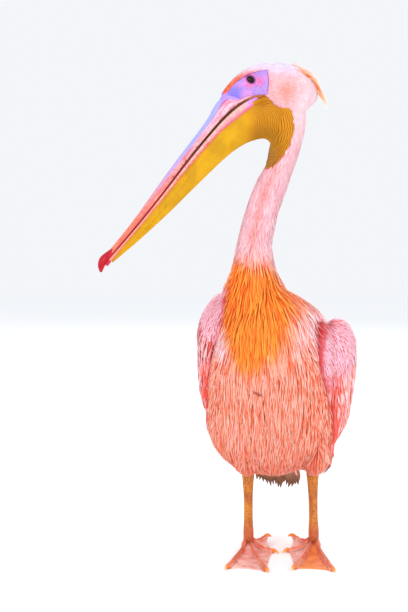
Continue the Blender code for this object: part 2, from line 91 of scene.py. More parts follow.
def smooth_rows(rows, count):
    """count rows read from a smooth curve through the given rows of numbers."""
    rows = np.array(rows, float)
    last = len(rows) - 1
    place = np.linspace(0, last, count)
    k = np.minimum(place.astype(int), last - 1)
    t = (place - k)[:, None]
    a, b, c, d = (rows[np.clip(k + ahead, 0, last)] for ahead in (-1, 0, 1, 2))
    return 0.5 * (2 * b + (c - a) * t + (2 * a - 5 * b + 4 * c - d) * t**2 + (3 * b - a - 3 * c + d) * t**3)


def turns(count):
    return np.linspace(0, 2 * math.pi, count, endpoint=False)


def unit(vectors, least=1e-9):
    return vectors / np.maximum(np.linalg.norm(vectors, axis=-1), least)[..., None]


def carried(matrix, points):
    """Points carried by a matrix."""
    turn = np.array(matrix)
    return np.asarray(points, float) @ turn[:3, :3].T + turn[:3, 3]


def turned(matrix, vector):
    """A direction carried by a matrix."""
    return carried(matrix.to_3x3().to_4x4(), vector)


def ring_faces(count, around, hoop=False, first=0):
    """Faces over rings of points; the ends are fans round two last points, or as a hoop they meet."""
    one, k = np.meshgrid(np.arange(count if hoop else count - 1), np.arange(around), indexing="ij")
    two, n = (one + 1) % count, (k + 1) % around
    faces = np.stack([one * around + k, one * around + n, two * around + n, two * around + k], -1)
    faces = (faces.reshape(-1, 4) + first).tolist()
    for hub, start in () if hoop else ((0, first), (1, first + (count - 1) * around)):
        faces += [(start + i, start + (i + 1) % around, first + count * around + hub) for i in range(around)]
    return faces


def ring_mesh(name, rings, hoop=False):
    """A closed mesh through rings of equal count."""
    rings = np.array(rings, float)
    hubs = [] if hoop else [rings[0].mean(axis=0), rings[-1].mean(axis=0)]
    return mesh_piece(name, np.vstack([rings.reshape(-1, 3), *hubs]), ring_faces(*rings.shape[:2], hoop))


def linked(name, data):
    piece = bpy.data.objects.new(name, data)
    bpy.context.scene.collection.objects.link(piece)
    return piece


def mesh_piece(name, points, faces):
    """A linked object with outward normals and smooth shading."""
    data = bpy.data.meshes.new(name)
    data.from_pydata(np.asarray(points, float).tolist(), [], faces)
    mesh = bmesh.new()
    mesh.from_mesh(data)
    bmesh.ops.recalc_face_normals(mesh, faces=mesh.faces)
    mesh.to_mesh(data)
    mesh.free()
    data.shade_smooth()
    return linked(name, data)


def skull_rings(count, around):
    """Rings of the bare skull in the head's frame."""
    rows = smooth_rows(SKULL_ROWS, count)
    way, angle = unit(np.gradient(rows[:, :2], axis=0)), turns(around)
    rise = np.sin(angle)[None] * np.where(np.sin(angle)[None] > 0, rows[:, 3:4], rows[:, 4:5])
    forward, height = rows[:, 0:1] - way[:, 1:2] * rise, rows[:, 1:2] + way[:, 0:1] * rise
    return np.stack([forward, np.cos(angle)[None] * rows[:, 2:3], height], -1)


def neck_rings(rows, around):
    """Rings of the neck's own tube, whole where the pouch is let into it."""
    way = unit(np.gradient(rows[:, :3], axis=0))
    side, angle = unit(np.cross((0, 1, 0), way)), turns(around)[None, :, None]
    out, up = side[:, None] * rows[:, None, 3:4], np.cross(way, side)[:, None] * rows[:, None, 4:5]
    return rows[:, None, :3] + np.cos(angle) * out + np.sin(angle) * up + np.array(STANCE)


def settled(piece):
    """Replaces a piece's mesh with what its modifiers make of it, and drops them."""
    bpy.context.view_layer.update()
    done = bpy.data.meshes.new_from_object(piece.evaluated_get(bpy.context.evaluated_depsgraph_get()))
    done.name = piece.name
    piece.modifiers.clear()
    piece.data = done


def discard(*pieces):
    for piece in pieces:
        bpy.data.objects.remove(piece)


FLESH = ("trunk", "neck_lower", "neck_upper", "head", "thigh_left", "thigh_right", "wing_left", "wing_right")
form = bmesh.new()
for name in FLESH:
    node = bmesh.new()
    node.from_mesh(nodes[name].data)
    bmesh.ops.remove_doubles(node, verts=node.verts, dist=1e-6)
    node.normal_update()
    for vert in node.verts:
        vert.co += vert.normal * SEAM_OVERLAP
    copy = bpy.data.meshes.new("form")
    node.to_mesh(copy)
    node.free()
    form.from_mesh(copy)
skull = ring_mesh("skull", carried(HEAD, skull_rings(60, 64)))
throat = ring_mesh("throat", neck_rings(smooth_rows(NECK_ROWS[4:], 40), 48))
form.from_mesh(skull.data)
form.from_mesh(throat.data)
skull_surface = BVHTree.FromObject(skull, bpy.context.evaluated_depsgraph_get())
skin = linked("skin", bpy.data.meshes.new("skin"))
form.to_mesh(skin.data)
form.free()
discard(skull, throat)
melt = skin.modifiers.new("melt", "REMESH")
melt.mode, melt.voxel_size = "VOXEL", SKIN_GRAIN
soften = skin.modifiers.new("soften", "SMOOTH")
soften.factor, soften.iterations = 0.5, 9
settled(skin)
flesh_surface = BVHTree.FromObject(skin, bpy.context.evaluated_depsgraph_get())


def read_out(items, key, width=1, kind=np.float32):
    """One property of all the points, edges or corners of a mesh."""
    values = np.empty(len(items) * width, kind)
    items.foreach_get(key, values)
    return values.reshape(-1, width) if width > 1 else values


# Which part of the bird each point of the skin belongs to, blended over the seams.
place = read_out(skin.data.vertices, "co", 3).astype(float)
outward = read_out(skin.data.vertex_normals, "vector", 3).astype(float)
edges = read_out(skin.data.edges, "vertices", 2, np.int32)
count = len(place)
corners, faces, owner = [], [], []
for part, name in enumerate(FLESH):
    data, base = nodes[name].data, len(corners)
    corners += [v.co for v in data.vertices]
    faces += [[base + i for i in face.vertices] for face in data.polygons]
    owner += [part] * len(data.polygons)
solids = BVHTree.FromPolygons(corners, faces)
part_of = np.array([owner[solids.find_nearest(Vector(p))[2]] for p in place])


def spread(values, rounds):
    """Values averaged with their neighbours along the skin's edges."""
    values = np.asarray(values, float)
    near = np.bincount(edges.ravel(), minlength=count)
    for _ in range(rounds):
        total = np.bincount(edges[:, 0], values[edges[:, 1]], count)
        total += np.bincount(edges[:, 1], values[edges[:, 0]], count)
        values = 0.4 * values + 0.6 * total / near
    return values


def share_in(*parts):
    """How far each point belongs to some parts, blended over their seams."""
    return sum(spread(part_of == FLESH.index(part), SEAM_ROUNDS) for part in parts)


def step(values, low, high):
    """0 below low, 1 above high, smooth between; low may be the larger."""
    t = np.clip((values - low) / (high - low), 0, 1)
    return t * t * (3 - 2 * t)


def bell(values, width):
    """1 where values are 0, and less to either side, over a width."""
    return np.exp(-((values / width) ** 2))


def along_rows(rows, place_of):
    """The second value of each row, read at any place along the first."""
    table = np.array(rows)
    return np.interp(place_of, table[:, 0], table[:, 1])


on_thigh = share_in("thigh_left", "thigh_right")
on_head, in_body = carried(HEAD.inverted(), place), carried(BODY.inverted(), place)
head_ahead, _, head_up = on_head.T
body_side, body_back, body_up = in_body.T
height = place[:, 2]
stood = place - np.array(STANCE)

# Each folded wing: its front edge, behind which it lies, and its lower edge along the trunk.
WING_FRONT = {  # back along the trunk, to the side
    LEFT: ((-0.19, 0.080), (-0.175, 0.087), (-0.150, 0.094), (-0.111, 0.105), (-0.060, 0.118),
           (0.012, 0.126), (0.078, 0.127), (0.150, 0.080)),
    RIGHT: ((-0.19, 0.100), (-0.154, 0.108), (-0.130, 0.113), (-0.097, 0.119), (-0.053, 0.124),
            (0.012, 0.127), (0.078, 0.127), (0.150, 0.080)),
}
WING_LOW = ((-0.19, -0.055), (-0.15, -0.085), (-0.10, -0.100), (0.00, -0.100), (0.055, -0.095),
            (0.13, -0.070), (0.20, -0.034), (0.262, -0.004), (0.30, 0.014))  # back along the trunk, height
GROOVE_DEPTH, GROOVE_WIDTH = 0.0070, 0.0045  # the furrow between breast and wing
side_of = np.where(body_side > 0, LEFT, RIGHT)
front_edge = np.where(side_of == LEFT, *(along_rows(WING_FRONT[side], body_back) for side in (LEFT, RIGHT)))
past_edge, above_edge = np.abs(body_side) - front_edge, body_up - along_rows(WING_LOW, body_back)
solid_wing = share_in("wing_left", "wing_right")
on_wing = step(past_edge, -0.003, 0.003) * step(above_edge, -0.003, 0.003) * step(height, 0.56, 0.54)
on_wing = np.where(body_up < 0.03, on_wing, np.maximum(solid_wing, on_wing * step(body_back, 0.0, -0.05)))
on_wing = spread(on_wing, 3)
furrow = bell(past_edge, GROOVE_WIDTH) * step(body_back, 0.10, 0.02)
furrow *= step(above_edge, -0.02, 0.01) * step(body_up, 0.05, 0.02)

# The lie of the coat: down the neck, fanning out over the breast, back along trunk and wings.
NECK_FOOT = STANCE + Vector((-0.060, -0.126, 0.600))  # where the breast feathers fan out from
SAG = np.array((0, 0, -1.0))
trunk_way = np.array((BODY.to_3x3() @ Vector((0, 1, 0))).normalized())
neck_line = carried(Matrix.Translation(STANCE), smooth_rows(NECK_ROWS, 60)[:, :3])
neck_tree = KDTree(len(neck_line))
for k, point in enumerate(neck_line):
    neck_tree.insert(point, k)
neck_tree.balance()
nearest = np.array([neck_tree.find(Vector(p))[1] for p in place])
from_foot = place - np.array(NECK_FOOT)
reach = np.linalg.norm(from_foot, axis=1)
fan = step(reach, 0.26, 0.06)[:, None] * step(height, 0.66, 0.58)[:, None]
lie = unit(unit(from_foot) * fan * 1.3 + trunk_way * (1 - 0.7 * fan))
belly = step(body_up, -0.02, -0.09)[:, None] * step(body_back, -0.10, 0.02)[:, None]
lie = unit(lie + SAG * 0.35 * (1 - belly))
necked = step(height, 0.585, 0.665)[:, None]
lie = unit(lie * (1 - necked) + unit(-np.gradient(neck_line, axis=0)[nearest]) * necked)
# beside the furrow the breast's feathers run along it, not across
across_edge = unit(turned(BODY, np.stack([side_of, np.full(count, -0.28), np.zeros(count)], -1)))
beside = step(past_edge, -0.045, -0.012) * step(past_edge, 0.02, 0.0) * step(body_back, 0.08, 0.0)
beside = (beside * step(body_up, 0.06, 0.02))[:, None]
lie = unit(lie - across_edge * (lie * across_edge).sum(axis=1)[:, None] * beside + SAG * 0.25 * beside)
headed = step(height, 0.845, 0.885)[:, None] * step(head_ahead, -0.035, -0.005)[:, None]
lie = unit(lie * (1 - headed) + turned(HEAD, [(-1, 0, -0.15)])[0] * headed)
lie -= outward * (lie * outward).sum(axis=1)[:, None]
lie = unit(np.stack([spread(lie[:, i], 6) for i in range(3)], -1))

# Where each place lies across and, drawn out, along the feathers' flow: neighbours in one lock
# share a tone.
DRAWN_OUT = 0.14
fan_turn = np.arctan2(from_foot[:, 0], np.maximum(-from_foot[:, 2], 0.02))
fanned = np.stack([fan_turn * 0.15, np.zeros(count), reach * DRAWN_OUT], -1)
flow = place * (1, 1, DRAWN_OUT) * (1 - fan) + fanned * fan
on_back = step(body_up, -0.05, 0.02)[:, None] * (1 - necked)
flow = flow * (1 - on_back) + in_body[:, (0, 2, 1)] * (1, 1, DRAWN_OUT) * on_back

# The bare skin of face and throat, outlined from the side: forward, height.
FACE_EDGE = (
    (0.0548, 0.9396), (0.0646, 0.9386), (0.0746, 0.936), (0.0918, 0.9292), (0.1037, 0.9228),
    (0.1131, 0.9163), (0.1219, 0.9079), (0.1284, 0.8994), (0.1322, 0.8939), (0.1272, 0.8921),
    (0.1211, 0.8904), (0.111, 0.8858), (0.1036, 0.8883), (0.0937, 0.8913), (0.0785, 0.8931),
    (0.0655, 0.8944), (0.0584, 0.8958), (0.0581, 0.9039), (0.0561, 0.9182), (0.0562, 0.9302),
)
THROAT_EDGE = (
    (0.0653, 0.8933), (0.056, 0.889), (0.048, 0.8825), (0.0342, 0.8749), (0.0284, 0.8727),
    (0.0111, 0.8727), (0.0062, 0.8655), (0.0031, 0.8559), (0.0018, 0.8439), (0.0016, 0.8249),
    (0.0041, 0.8105), (0.0117, 0.7936), (0.0206, 0.7816), (0.0301, 0.7724), (0.0385, 0.7659),
    (0.0423, 0.7636), (0.056, 0.760), (0.075, 0.765), (0.16, 0.80), (0.15, 0.87), (0.108, 0.879),
    (0.080, 0.891),
)


def inside(edge, forward, height):
    """How deep each place lies within an outline seen from the side; outside it is negative."""
    edge = np.array(edge)
    far, crossings = np.full(len(forward), 9.0), np.zeros(len(forward), int)
    for (a, b), (c, d) in zip(edge, np.roll(edge, -1, axis=0)):
        t = np.clip(((forward - a) * (c - a) + (height - b) * (d - b)) / ((c - a) ** 2 + (d - b) ** 2), 0, 1)
        far = np.minimum(far, np.hypot(forward - a - t * (c - a), height - b - t * (d - b)))
        rises = (b > height) != (d > height)
        crossings += rises & (forward < (c - a) * (height - b) / np.where(rises, d - b, 1) + a)
    return np.where(crossings % 2 == 1, far, -far)


in_face = np.where(height > 0.84, inside(FACE_EDGE, head_ahead, head_up), -1)
in_throat = np.where(height > 0.74, inside(THROAT_EDGE, head_ahead, head_up), -1)
bare = np.maximum(step(in_face, -0.0012, -0.0002), step(in_throat, -0.0012, -0.0002))
bill_root = step(head_ahead, 0.062, 0.066) * step(head_up, 0.8975, 0.8955) * step(height, 0.84, 0.845)
bare = np.maximum(bare, bill_root)  # no feathers between the face and the horn

# Length, width and standing-off of the feathers, from the face to the rump.
FACE_SUNK, THROAT_SUNK, GULLET_SUNK = 0.0030, 0.0045, 0.0060  # how deep the skin lies where it is bare
REAR_END = {LEFT: 0.314, RIGHT: 0.286, "trunk": 0.245}  # how far back each wing and the trunk reach
from_face = np.linalg.norm((on_head - (0.075, 0, 0.91)) * (1, 0.8, 1), axis=1)
low_down = step(height, 0.67, 0.52)
feather_length = 0.0085 + 0.009 * step(from_face, 0.03, 0.16) + 0.050 * low_down
feather_length = feather_length * (1 - on_thigh * 0.45 * step(height, 0.27, 0.17))
# short beside the furrow, so that they leave it open
by_edge = step(past_edge, -0.055, -0.010) * (1 - on_wing) * step(body_back, 0.10, 0.02)
by_edge *= step(body_up, 0.10, 0.05)
feather_length = feather_length * (1 - 0.66 * by_edge)
# no feather reaches far past the rear end of the trunk or wing it grows on
rear_end = np.where(side_of == LEFT, REAR_END[LEFT], REAR_END[RIGHT])
rear_end = np.where(on_wing > 0.5, rear_end, REAR_END["trunk"])
room = np.maximum(rear_end + 0.006 - body_back, 0.014)
feather_length = np.minimum(feather_length, room)
feather_width = 0.0021 + 0.0003 * step(from_face, 0.03, 0.16) + 0.0001 * low_down
coat_depth = 0.0011 + 0.0010 * step(from_face, 0.03, 0.12) + 0.0044 * low_down
coat_depth *= 1 - 0.35 * on_thigh
lobe = on_wing * step(body_back, -0.075, -0.105)  # the downy wrist of each folded wing
feather_length = feather_length * (1 - lobe) + 0.013 * lobe
coat_depth = coat_depth * (1 - lobe) + 0.0040 * lobe
bare_depth = FACE_SUNK * step(in_face, -0.001, 0.002) + THROAT_SUNK * step(in_throat, -0.001, 0.003)
sunk = np.maximum(coat_depth, bare_depth)
sunk = sunk + GROOVE_DEPTH * furrow
gullet = step((outward * turned(HEAD, [(1, 0, 0)])[0]).sum(axis=1), 0.2, 0.9)
sunk = sunk + GULLET_SUNK * gullet * bell(height - 0.776, 0.026)

# Markings, each from 0 to 1, the same on the skin and on the feathers that grow from it.
GOLD_ROWS = ((0.425, 0.003), (0.45, 0.024), (0.48, 0.050), (0.515, 0.063), (0.545, 0.062), (0.59, 0.038),
             (0.625, 0.028))  # height, half width of the shield of golden feathers on the breast
front = step(outward[:, 1], 0.35, -0.15)


def patch(centre, radii):
    """A soft round patch about a place given from the stance."""
    return step(np.linalg.norm((stood - centre) / radii, axis=1), 1.15, 0.55)


gold_middle = np.interp(stood[:, 2], (0.40, 0.50, 0.60), (-0.076, -0.070, -0.066))
gold = step(np.abs(stood[:, 0] - gold_middle) / along_rows(GOLD_ROWS, stood[:, 2]), 1.32, 0.68)
gold *= step(stood[:, 2], 0.418, 0.448) * step(stood[:, 2], 0.635, 0.590) * front
pale = np.maximum(patch((0.050, -0.13, 0.490), (0.085, 0.12, 0.085)), step(body_up, 0.0, 0.08))
pale = np.maximum(pale, patch((-0.125, -0.15, 0.465), (0.030, 0.08, 0.050)))
pale = np.clip(np.maximum(pale, on_wing * step(height, 0.22, 0.30)), 0, 1) * (1 - gold)
blush = bell(head_ahead - 0.027, 0.020) * bell(head_up - 0.902, 0.020) * step(height, 0.84, 0.87)
brow = step(in_face, -0.0075, -0.003) * step(in_face, 0.002, 0.0) * step(head_ahead, 0.055, 0.085)
brow *= 0.35 + 0.65 * step(head_ahead, 0.07, 0.115)
brow *= step(head_up + 0.55 * head_ahead, 0.955, 0.962) * step(height, 0.84, 0.87)
streak = bell(stood[:, 0] - neck_line[nearest][:, 0] + STANCE.x + 0.004, 0.007)
streak *= step(height, 0.60, 0.64) * step(height, 0.80, 0.72) * front
flush = on_wing * np.exp(-np.maximum(past_edge, 0) / 0.021)  # red fades out behind the wing's front edge
flush *= step(body_back, -0.15, -0.08) * step(body_up, 0.06, 0.0)
GIVEN = {
    "gold": gold, "pale": pale, "warm": step(stood[:, 2], 0.30, 0.17) * (1 - on_wing),
    "plush": step(height, 0.585, 0.64), "nape": step(head_ahead, 0.020, -0.015) * step(height, 0.78, 0.86),
    # lilac: painted lilac shade on the top of the head
    "lilac": step(head_up, 0.925, 0.950) * step(height, 0.84, 0.88), "blush": blush, "streak": streak * 0.6,
    # red: dark red painted shade in the furrow between breast and wing
    "brow": brow, "red": furrow**1.5, "lie": lie, "flow": flow, "feather_length": feather_length,
    "feather_width": feather_width, "coat_depth": coat_depth, "bare": bare,
    "gullet": step(in_throat, -0.0022, -0.0012), "flush": flush,
    "dusk": on_wing * step(above_edge, 0.040, 0.012) * step(body_back, -0.02, 0.06),
}


def give(piece, name, values):
    """Stores a value or a vector at each point of a piece."""
    values = np.asarray(values, np.float32)
    kind, key = ("FLOAT_VECTOR", "vector") if values.ndim == 2 else ("FLOAT", "value")
    piece.data.attributes.new(name, kind, "POINT").data.foreach_set(key, values.ravel())


for name, values in GIVEN.items():
    give(skin, name, values)
skin.data.vertices.foreach_set("co", (place - outward * sunk[:, None]).astype(np.float32).ravel())
skin.data.update()

bpy.context.view_layer.objects.active = skin
skin.select_set(True)
skin.data.uv_layers.new(name="OFBake")
bpy.ops.object.mode_set(mode="EDIT")
bpy.ops.mesh.select_all(action="SELECT")
bpy.ops.uv.smart_project(angle_limit=math.radians(66), island_margin=0.002)
bpy.ops.object.mode_set(mode="OBJECT")


class Field:
    """A value, vector or colour that nodes work out; sums on it, as on a number, add the nodes."""

    def __init__(self, socket):
        self.socket, self.tree = socket, socket.id_data
        self.vector = socket.type in ("VECTOR", "RGBA")

    def of(self, operation, *others):
        """What an operation makes of this field and others."""
        if self.vector:
            names = (0, "Scale") if operation == "SCALE" else (0, 1)
            node = add(self.tree, "ShaderNodeVectorMath", zip(names, (self, *others)), operation=operation)
            return Field(node.outputs["Value" if operation in ("LENGTH", "DOT_PRODUCT") else "Vector"])
        node = add(self.tree, "ShaderNodeMath", enumerate((self, *others)), operation=operation)
        return Field(node.outputs[0])

    def __add__(self, other):
        return self.of("ADD", other)

    def __sub__(self, other):
        return self.of("SUBTRACT", other)

    def __mul__(self, other):
        by_vector = isinstance(other, tuple) or getattr(other, "vector", False)
        return self.of("SCALE" if self.vector and not by_vector else "MULTIPLY", other)

    def __abs__(self):
        return self.of("ABSOLUTE")

    def __pow__(self, power):
        return self.of("POWER", power)

    def ramp(self, low, high):
        """0 where the value is under low, 1 over high, smooth between; low may be the larger."""
        return Field(add(self.tree, "ShaderNodeMapRange", {"Value": self, "From Min": low, "From Max": high},
                         interpolation_type="SMOOTHSTEP").outputs["Result"])


def add(tree, kind, inputs=(), **settings):
    """A node of one kind in a tree, its settings made and its inputs set or linked."""
    node = tree.nodes.new(kind)
    for key, value in settings.items():
        setattr(node, key, value)
    for key, value in dict(inputs).items():
        if isinstance(value, Field):
            tree.links.new(value.socket, node.inputs[key])
        else:
            node.inputs[key].default_value = value
    return node


def values_at(tree, *names):
    """Values stored at each point of a piece, in a material."""
    return [Field(add(tree, "ShaderNodeAttribute", attribute_name=name).outputs["Fac"]) for name in names]


def screen(colour):
    """Turns red, green and blue, as they look on a screen, into a shader's colour."""
    if isinstance(colour, Field):
        return colour
    return tuple(((c / 255 + 0.055) / 1.055) ** 2.4 if c > 10 else c / 255 / 12.92 for c in colour) + (1,)


def painted(under, *coats):
    """Coats of colour over one another: each its colour and the mask that it goes on through."""
    for over, mask in coats:
        inputs = {0: mask, 6: screen(under), 7: screen(over)}
        under = Field(add(mask.tree, "ShaderNodeMix", inputs, data_type="RGBA").outputs[2])
    return under


# What colour the plumage has at each place, at a feather's root and at its tip.
TINTS = {  # root and tip of a feather in each patch of colour
    "body": ((240, 86, 26), (255, 182, 164)), "warm": ((232, 74, 20), (252, 160, 138)),
    "pale": ((248, 128, 110), (255, 226, 234)), "gold": ((238, 86, 0), (255, 158, 46)),
    "plush": ((246, 160, 168), (252, 200, 206)), "nape": ((248, 188, 192), (253, 216, 218)),
    # lilac is painted lilac shade on the top of the head, at root and tip
    "lilac": ((238, 206, 230), (246, 226, 246)), "blush": ((246, 140, 124), (248, 164, 150)),
    "streak": ((234, 96, 80), (244, 140, 128)), "brow": ((246, 84, 44), (252, 128, 88)),
    # red is dark red painted shade in the furrow between breast and wing
    "red": ((190, 14, 30), (226, 84, 80)),
}
PATCHES = [name for name in TINTS if name != "body"]
markings = bpy.data.node_groups.new("plumage_markings", "ShaderNodeTree")
for end in ("Root", "Tip"):
    markings.interface.new_socket(end, in_out="OUTPUT", socket_type="NodeSocketColor")
out = markings.nodes.new("NodeGroupOutput").inputs
for k, end in enumerate(("Root", "Tip")):
    masks = zip((TINTS[name][k] for name in PATCHES), values_at(markings, *PATCHES))
    markings.links.new(painted(TINTS["body"][k], *masks).socket, out[end])


def material_named(name, roughness, **sockets):
    """A material's tree and its shader, with the sockets that are the same all over."""
    material = bpy.data.materials.new(name)
    material.use_nodes = True
    shader = material.node_tree.nodes["Principled BSDF"]
    shader.inputs["Roughness"].default_value = roughness
    for key, value in sockets.items():
        shader.inputs[key.replace("_", " ").title().replace("Ior", "IOR")].default_value = value
    return material, material.node_tree, shader


def coloured(shader, colour, height=None, strength=0.0, depth=0.0):
    """Gives a shader its colour, and the relief of a height where there is one."""
    tree = shader.id_data
    tree.links.new(colour.socket, shader.inputs["Base Color"])
    if height is not None:
        bump = add(tree, "ShaderNodeBump", {"Height": height, "Strength": strength, "Distance": depth})
        tree.links.new(bump.outputs[0], shader.inputs["Normal"])


def coloured_by_place(tree):
    """The plumage's root and tip colours."""
    group = add(tree, "ShaderNodeGroup", node_tree=markings).outputs
    return Field(group["Root"]), Field(group["Tip"])


skin_paint, tree, shader = material_named("skin_paint", 0.9)
bare_at, gullet_at = values_at(tree, "bare", "gullet")
coloured(shader, painted(coloured_by_place(tree)[0], ((166, 132, 214), bare_at), ((186, 106, 40), gullet_at)))
skin.data.materials.append(skin_paint)
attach(skin, "root")
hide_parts(*FLESH)

# ---------------------------------------------------------------- body plumage
# Lanceolate feathers, each a thin closed blade with a raised shaft, rooted in the skin and
# laid along it by one Geometry Nodes tree, tips over the next roots.
SHARP = math.radians(60)  # edges sharper than this keep their crease, so that flat sides stay flat


def blade(name, sections, across=1):
    """A flat closed feather of unit size. Sections hold place along it and half width."""
    mesh = bmesh.new()
    along, side, rib = (mesh.verts.layers.float.new(key) for key in ("along", "across", "rib"))
    rows = []
    steps = [k / across for k in range(-across, across + 1)]
    for y, wide in sections:
        rows.append([mesh.verts.new((u * wide, y, 0)) for u in steps])
        for u, vert in zip(steps, rows[-1]):
            vert[along], vert[side], vert[rib] = y, u, 1 - abs(u) ** 1.5
    end = mesh.verts.new((0, 1, 0))
    end[along], end[rib] = 1, 0.3
    for one, two in zip(rows, rows[1:]):
        for k in range(len(steps) - 1):
            mesh.faces.new((one[k], one[k + 1], two[k + 1], two[k]))
        mesh.faces.new((one[-1], one[0], two[0], two[-1]))
    for k in range(len(steps) - 1):
        mesh.faces.new((rows[-1][k], rows[-1][k + 1], end))
    mesh.faces.new((rows[-1][-1], rows[-1][0], end))
    mesh.faces.new(rows[0][::-1])
    data = bpy.data.meshes.new(name)
    mesh.to_mesh(data)
    mesh.free()
    data.set_sharp_from_angle(angle=SHARP)
    return linked(name, data)


FEATHER_PATCH = (0.0013, 0.0026)  # half width and length of a feather's patch of the OFBake map
CROWDING = 3.5  # how many places are tried for each feather that the spacing lets stand
TONE_SCALE, LOCK_SCALE = 270.0, 42.0  # fineness of the tones along the flow and of the parted locks
WAVER = 0.05  # how far single feathers turn from the lie of the coat
coat = bpy.data.node_groups.new("laid_feathers", "GeometryNodeTree")
coat.interface.new_socket("Geometry", in_out="OUTPUT", socket_type="NodeSocketGeometry")
coat_sockets = {}
for key, kind, start in (
    ("Geometry", "Geometry", None), ("Feather", "Object", None), ("Spacing", "Float", 0.005),
    ("Shaft", "Float", 0.0006), ("Ruffle", "Float", 0.2), ("Sway", "Float", 0.1),
    ("Locks", "Float", 0.6), ("Seed", "Int", 1), ("Finish", "Material", None),
):
    socket = coat.interface.new_socket(key, in_out="INPUT", socket_type="NodeSocket" + kind)
    if start is not None:
        socket.default_value = start
    coat_sockets[key] = socket.identifier
given = {socket.name: Field(socket) for socket in coat.nodes.new("NodeGroupInput").outputs if socket.name}


def made(kind, inputs=(), output=0, **settings):
    """What a node of the coat's tree puts out."""
    return Field(add(coat, kind, inputs, **settings).outputs[output])


def stored(name, kind="FLOAT"):
    """An attribute, read where the coat's tree needs it."""
    return made("GeometryNodeInputNamedAttribute", {"Name": name}, "Attribute", data_type=kind)


def store(geometry, name, value, kind="FLOAT", domain="POINT"):
    inputs = {"Geometry": geometry, "Name": name, "Value": value}
    return made("GeometryNodeStoreNamedAttribute", inputs, "Geometry", data_type=kind, domain=domain)


def chance(low, high, offset, kind="FLOAT"):
    """A random value for each point, from the fixed seed."""
    first, output = (0, 0) if kind == "FLOAT_VECTOR" else (2, 1)
    inputs = {"Seed": given["Seed"] + offset, first: low, first + 1: high}
    return made("FunctionNodeRandomValue", inputs, output, data_type=kind)


density = made("ShaderNodeMath", {0: CROWDING, 1: given["Spacing"] * given["Spacing"]}, operation="DIVIDE")
roots = add(coat, "GeometryNodeDistributePointsOnFaces", distribute_method="POISSON")
for key, value in {"Mesh": given["Geometry"], "Distance Min": given["Spacing"], "Density Max": density,
                   "Density Factor": stored("region"), "Seed": given["Seed"]}.items():
    coat.links.new(value.socket, roots.inputs[key])
points, normal = Field(roots.outputs["Points"]), Field(roots.outputs["Normal"])
points = store(points, "shade", chance(0.0, 1.0, 1))
inputs = {"Vector": stored("flow", "FLOAT_VECTOR"), "Scale": TONE_SCALE, "Detail": 1.0}
points = store(points, "tone", made("ShaderNodeTexNoise", inputs, "Fac"))
points = store(points, "root_uv", stored("OFBake", "FLOAT_VECTOR"), "FLOAT_VECTOR")
points = made("GeometryNodeRemoveAttribute", {"Geometry": points, "Name": "OFBake"})
locks = made("ShaderNodeTexNoise", {"Scale": LOCK_SCALE, "Detail": 2.0}, "Color")  # feathers part in locks
locks = (locks - (0.5, 0.5, 0.5)) * given["Locks"]
waver = chance((-1, -1, -1), (1, 1, 1), 2, "FLOAT_VECTOR") * WAVER
way = stored("lie", "FLOAT_VECTOR") + waver + locks
long = stored("feather_length") * chance(0.78, 1.22, 3)
wide = stored("feather_width") * chance(0.75, 1.3, 4)
swing = long * given["Sway"] * chance(-1.0, 1.0, 5)
sway = way.of("CROSS_PRODUCT", normal).of("NORMALIZE") * swing
points = store(points, "sway", sway, "FLOAT_VECTOR")
lift = stored("coat_depth") * (given["Ruffle"] * chance(-1.0, 1.0, 6) + 1.0)
points = store(points, "lift", lift)
turn = made("FunctionNodeAxesToRotation", {"Primary Axis": normal, "Secondary Axis": way},
            primary_axis="Z", secondary_axis="Y")
feather = made("GeometryNodeObjectInfo", {"Object": given["Feather"]}, "Geometry", transform_space="ORIGINAL")
inputs = {"Points": points, "Instance": feather, "Rotation": turn,
          "Scale": made("ShaderNodeCombineXYZ", {0: wide, 1: long, 2: 1.0})}
laid = made("GeometryNodeRealizeInstances", {"Geometry": made("GeometryNodeInstanceOnPoints", inputs)})
along, position = stored("along"), made("GeometryNodeInputPosition")
bent = position + stored("sway", "FLOAT_VECTOR") * along**2.0
ground = []
for field in (position, made("GeometryNodeInputNormal")):
    inputs = {"Mesh": given["Geometry"], "Value": field, "Sample Position": bent}
    ground.append(made("GeometryNodeSampleNearestSurface", inputs, data_type="FLOAT_VECTOR"))
rise = along * (along * -1.0 + 2.0) * stored("lift") + stored("rib") * given["Shaft"]
inputs = {"Geometry": laid, "Position": ground[0] + ground[1].of("NORMALIZE") * rise}
laid = made("GeometryNodeSetPosition", inputs)
at = made("ShaderNodeCombineXYZ", {0: stored("across"), 1: along}) * (*FEATHER_PATCH, 0)
laid = store(laid, "OFBake", stored("root_uv", "FLOAT_VECTOR") + at, "FLOAT2", "CORNER")
laid = made("GeometryNodeSetShadeSmooth", {0: laid})
for key in ("root_uv", "sway", "lift", "lie", "flow", "feather_length", "feather_width", "coat_depth"):
    laid = made("GeometryNodeRemoveAttribute", {"Geometry": laid, "Name": key})
laid = made("GeometryNodeSetMaterial", {"Geometry": laid, "Material": given["Finish"]})
coat.links.new(laid.socket, coat.nodes.new("NodeGroupOutput").inputs["Geometry"])


def grow(name, region, feather, finish, slot, **sizes):
    """One piece of the coat, grown from a copy of the skin where region, from 0 to 1, says."""
    ground = skin.copy()
    ground.data = skin.data.copy()
    bpy.context.scene.collection.objects.link(ground)
    give(ground, "region", region)
    plant = ground.modifiers.new("coat", "NODES")
    plant.node_group = coat
    for key, value in {"Feather": feather, "Finish": finish, **sizes}.items():
        plant[coat_sockets[key]] = value
    settled(ground)
    ground.name = ground.data.name = name
    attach(ground, "root")


PAINTED_PARTING_AT = (0.0450, -0.1730, 0.3490)  # where a dark parting is painted on the belly: painted shade of a gap between feathers


def spotted(tree, scale, detail, at=None, **more):
    """Noise over a piece, from 0 to 1."""
    at = at or Field(add(tree, "ShaderNodeTexCoord").outputs["Object"])
    node = add(tree, "ShaderNodeTexNoise", {"Vector": at, "Scale": scale, "Detail": detail, **more})
    return Field(node.outputs["Fac"])


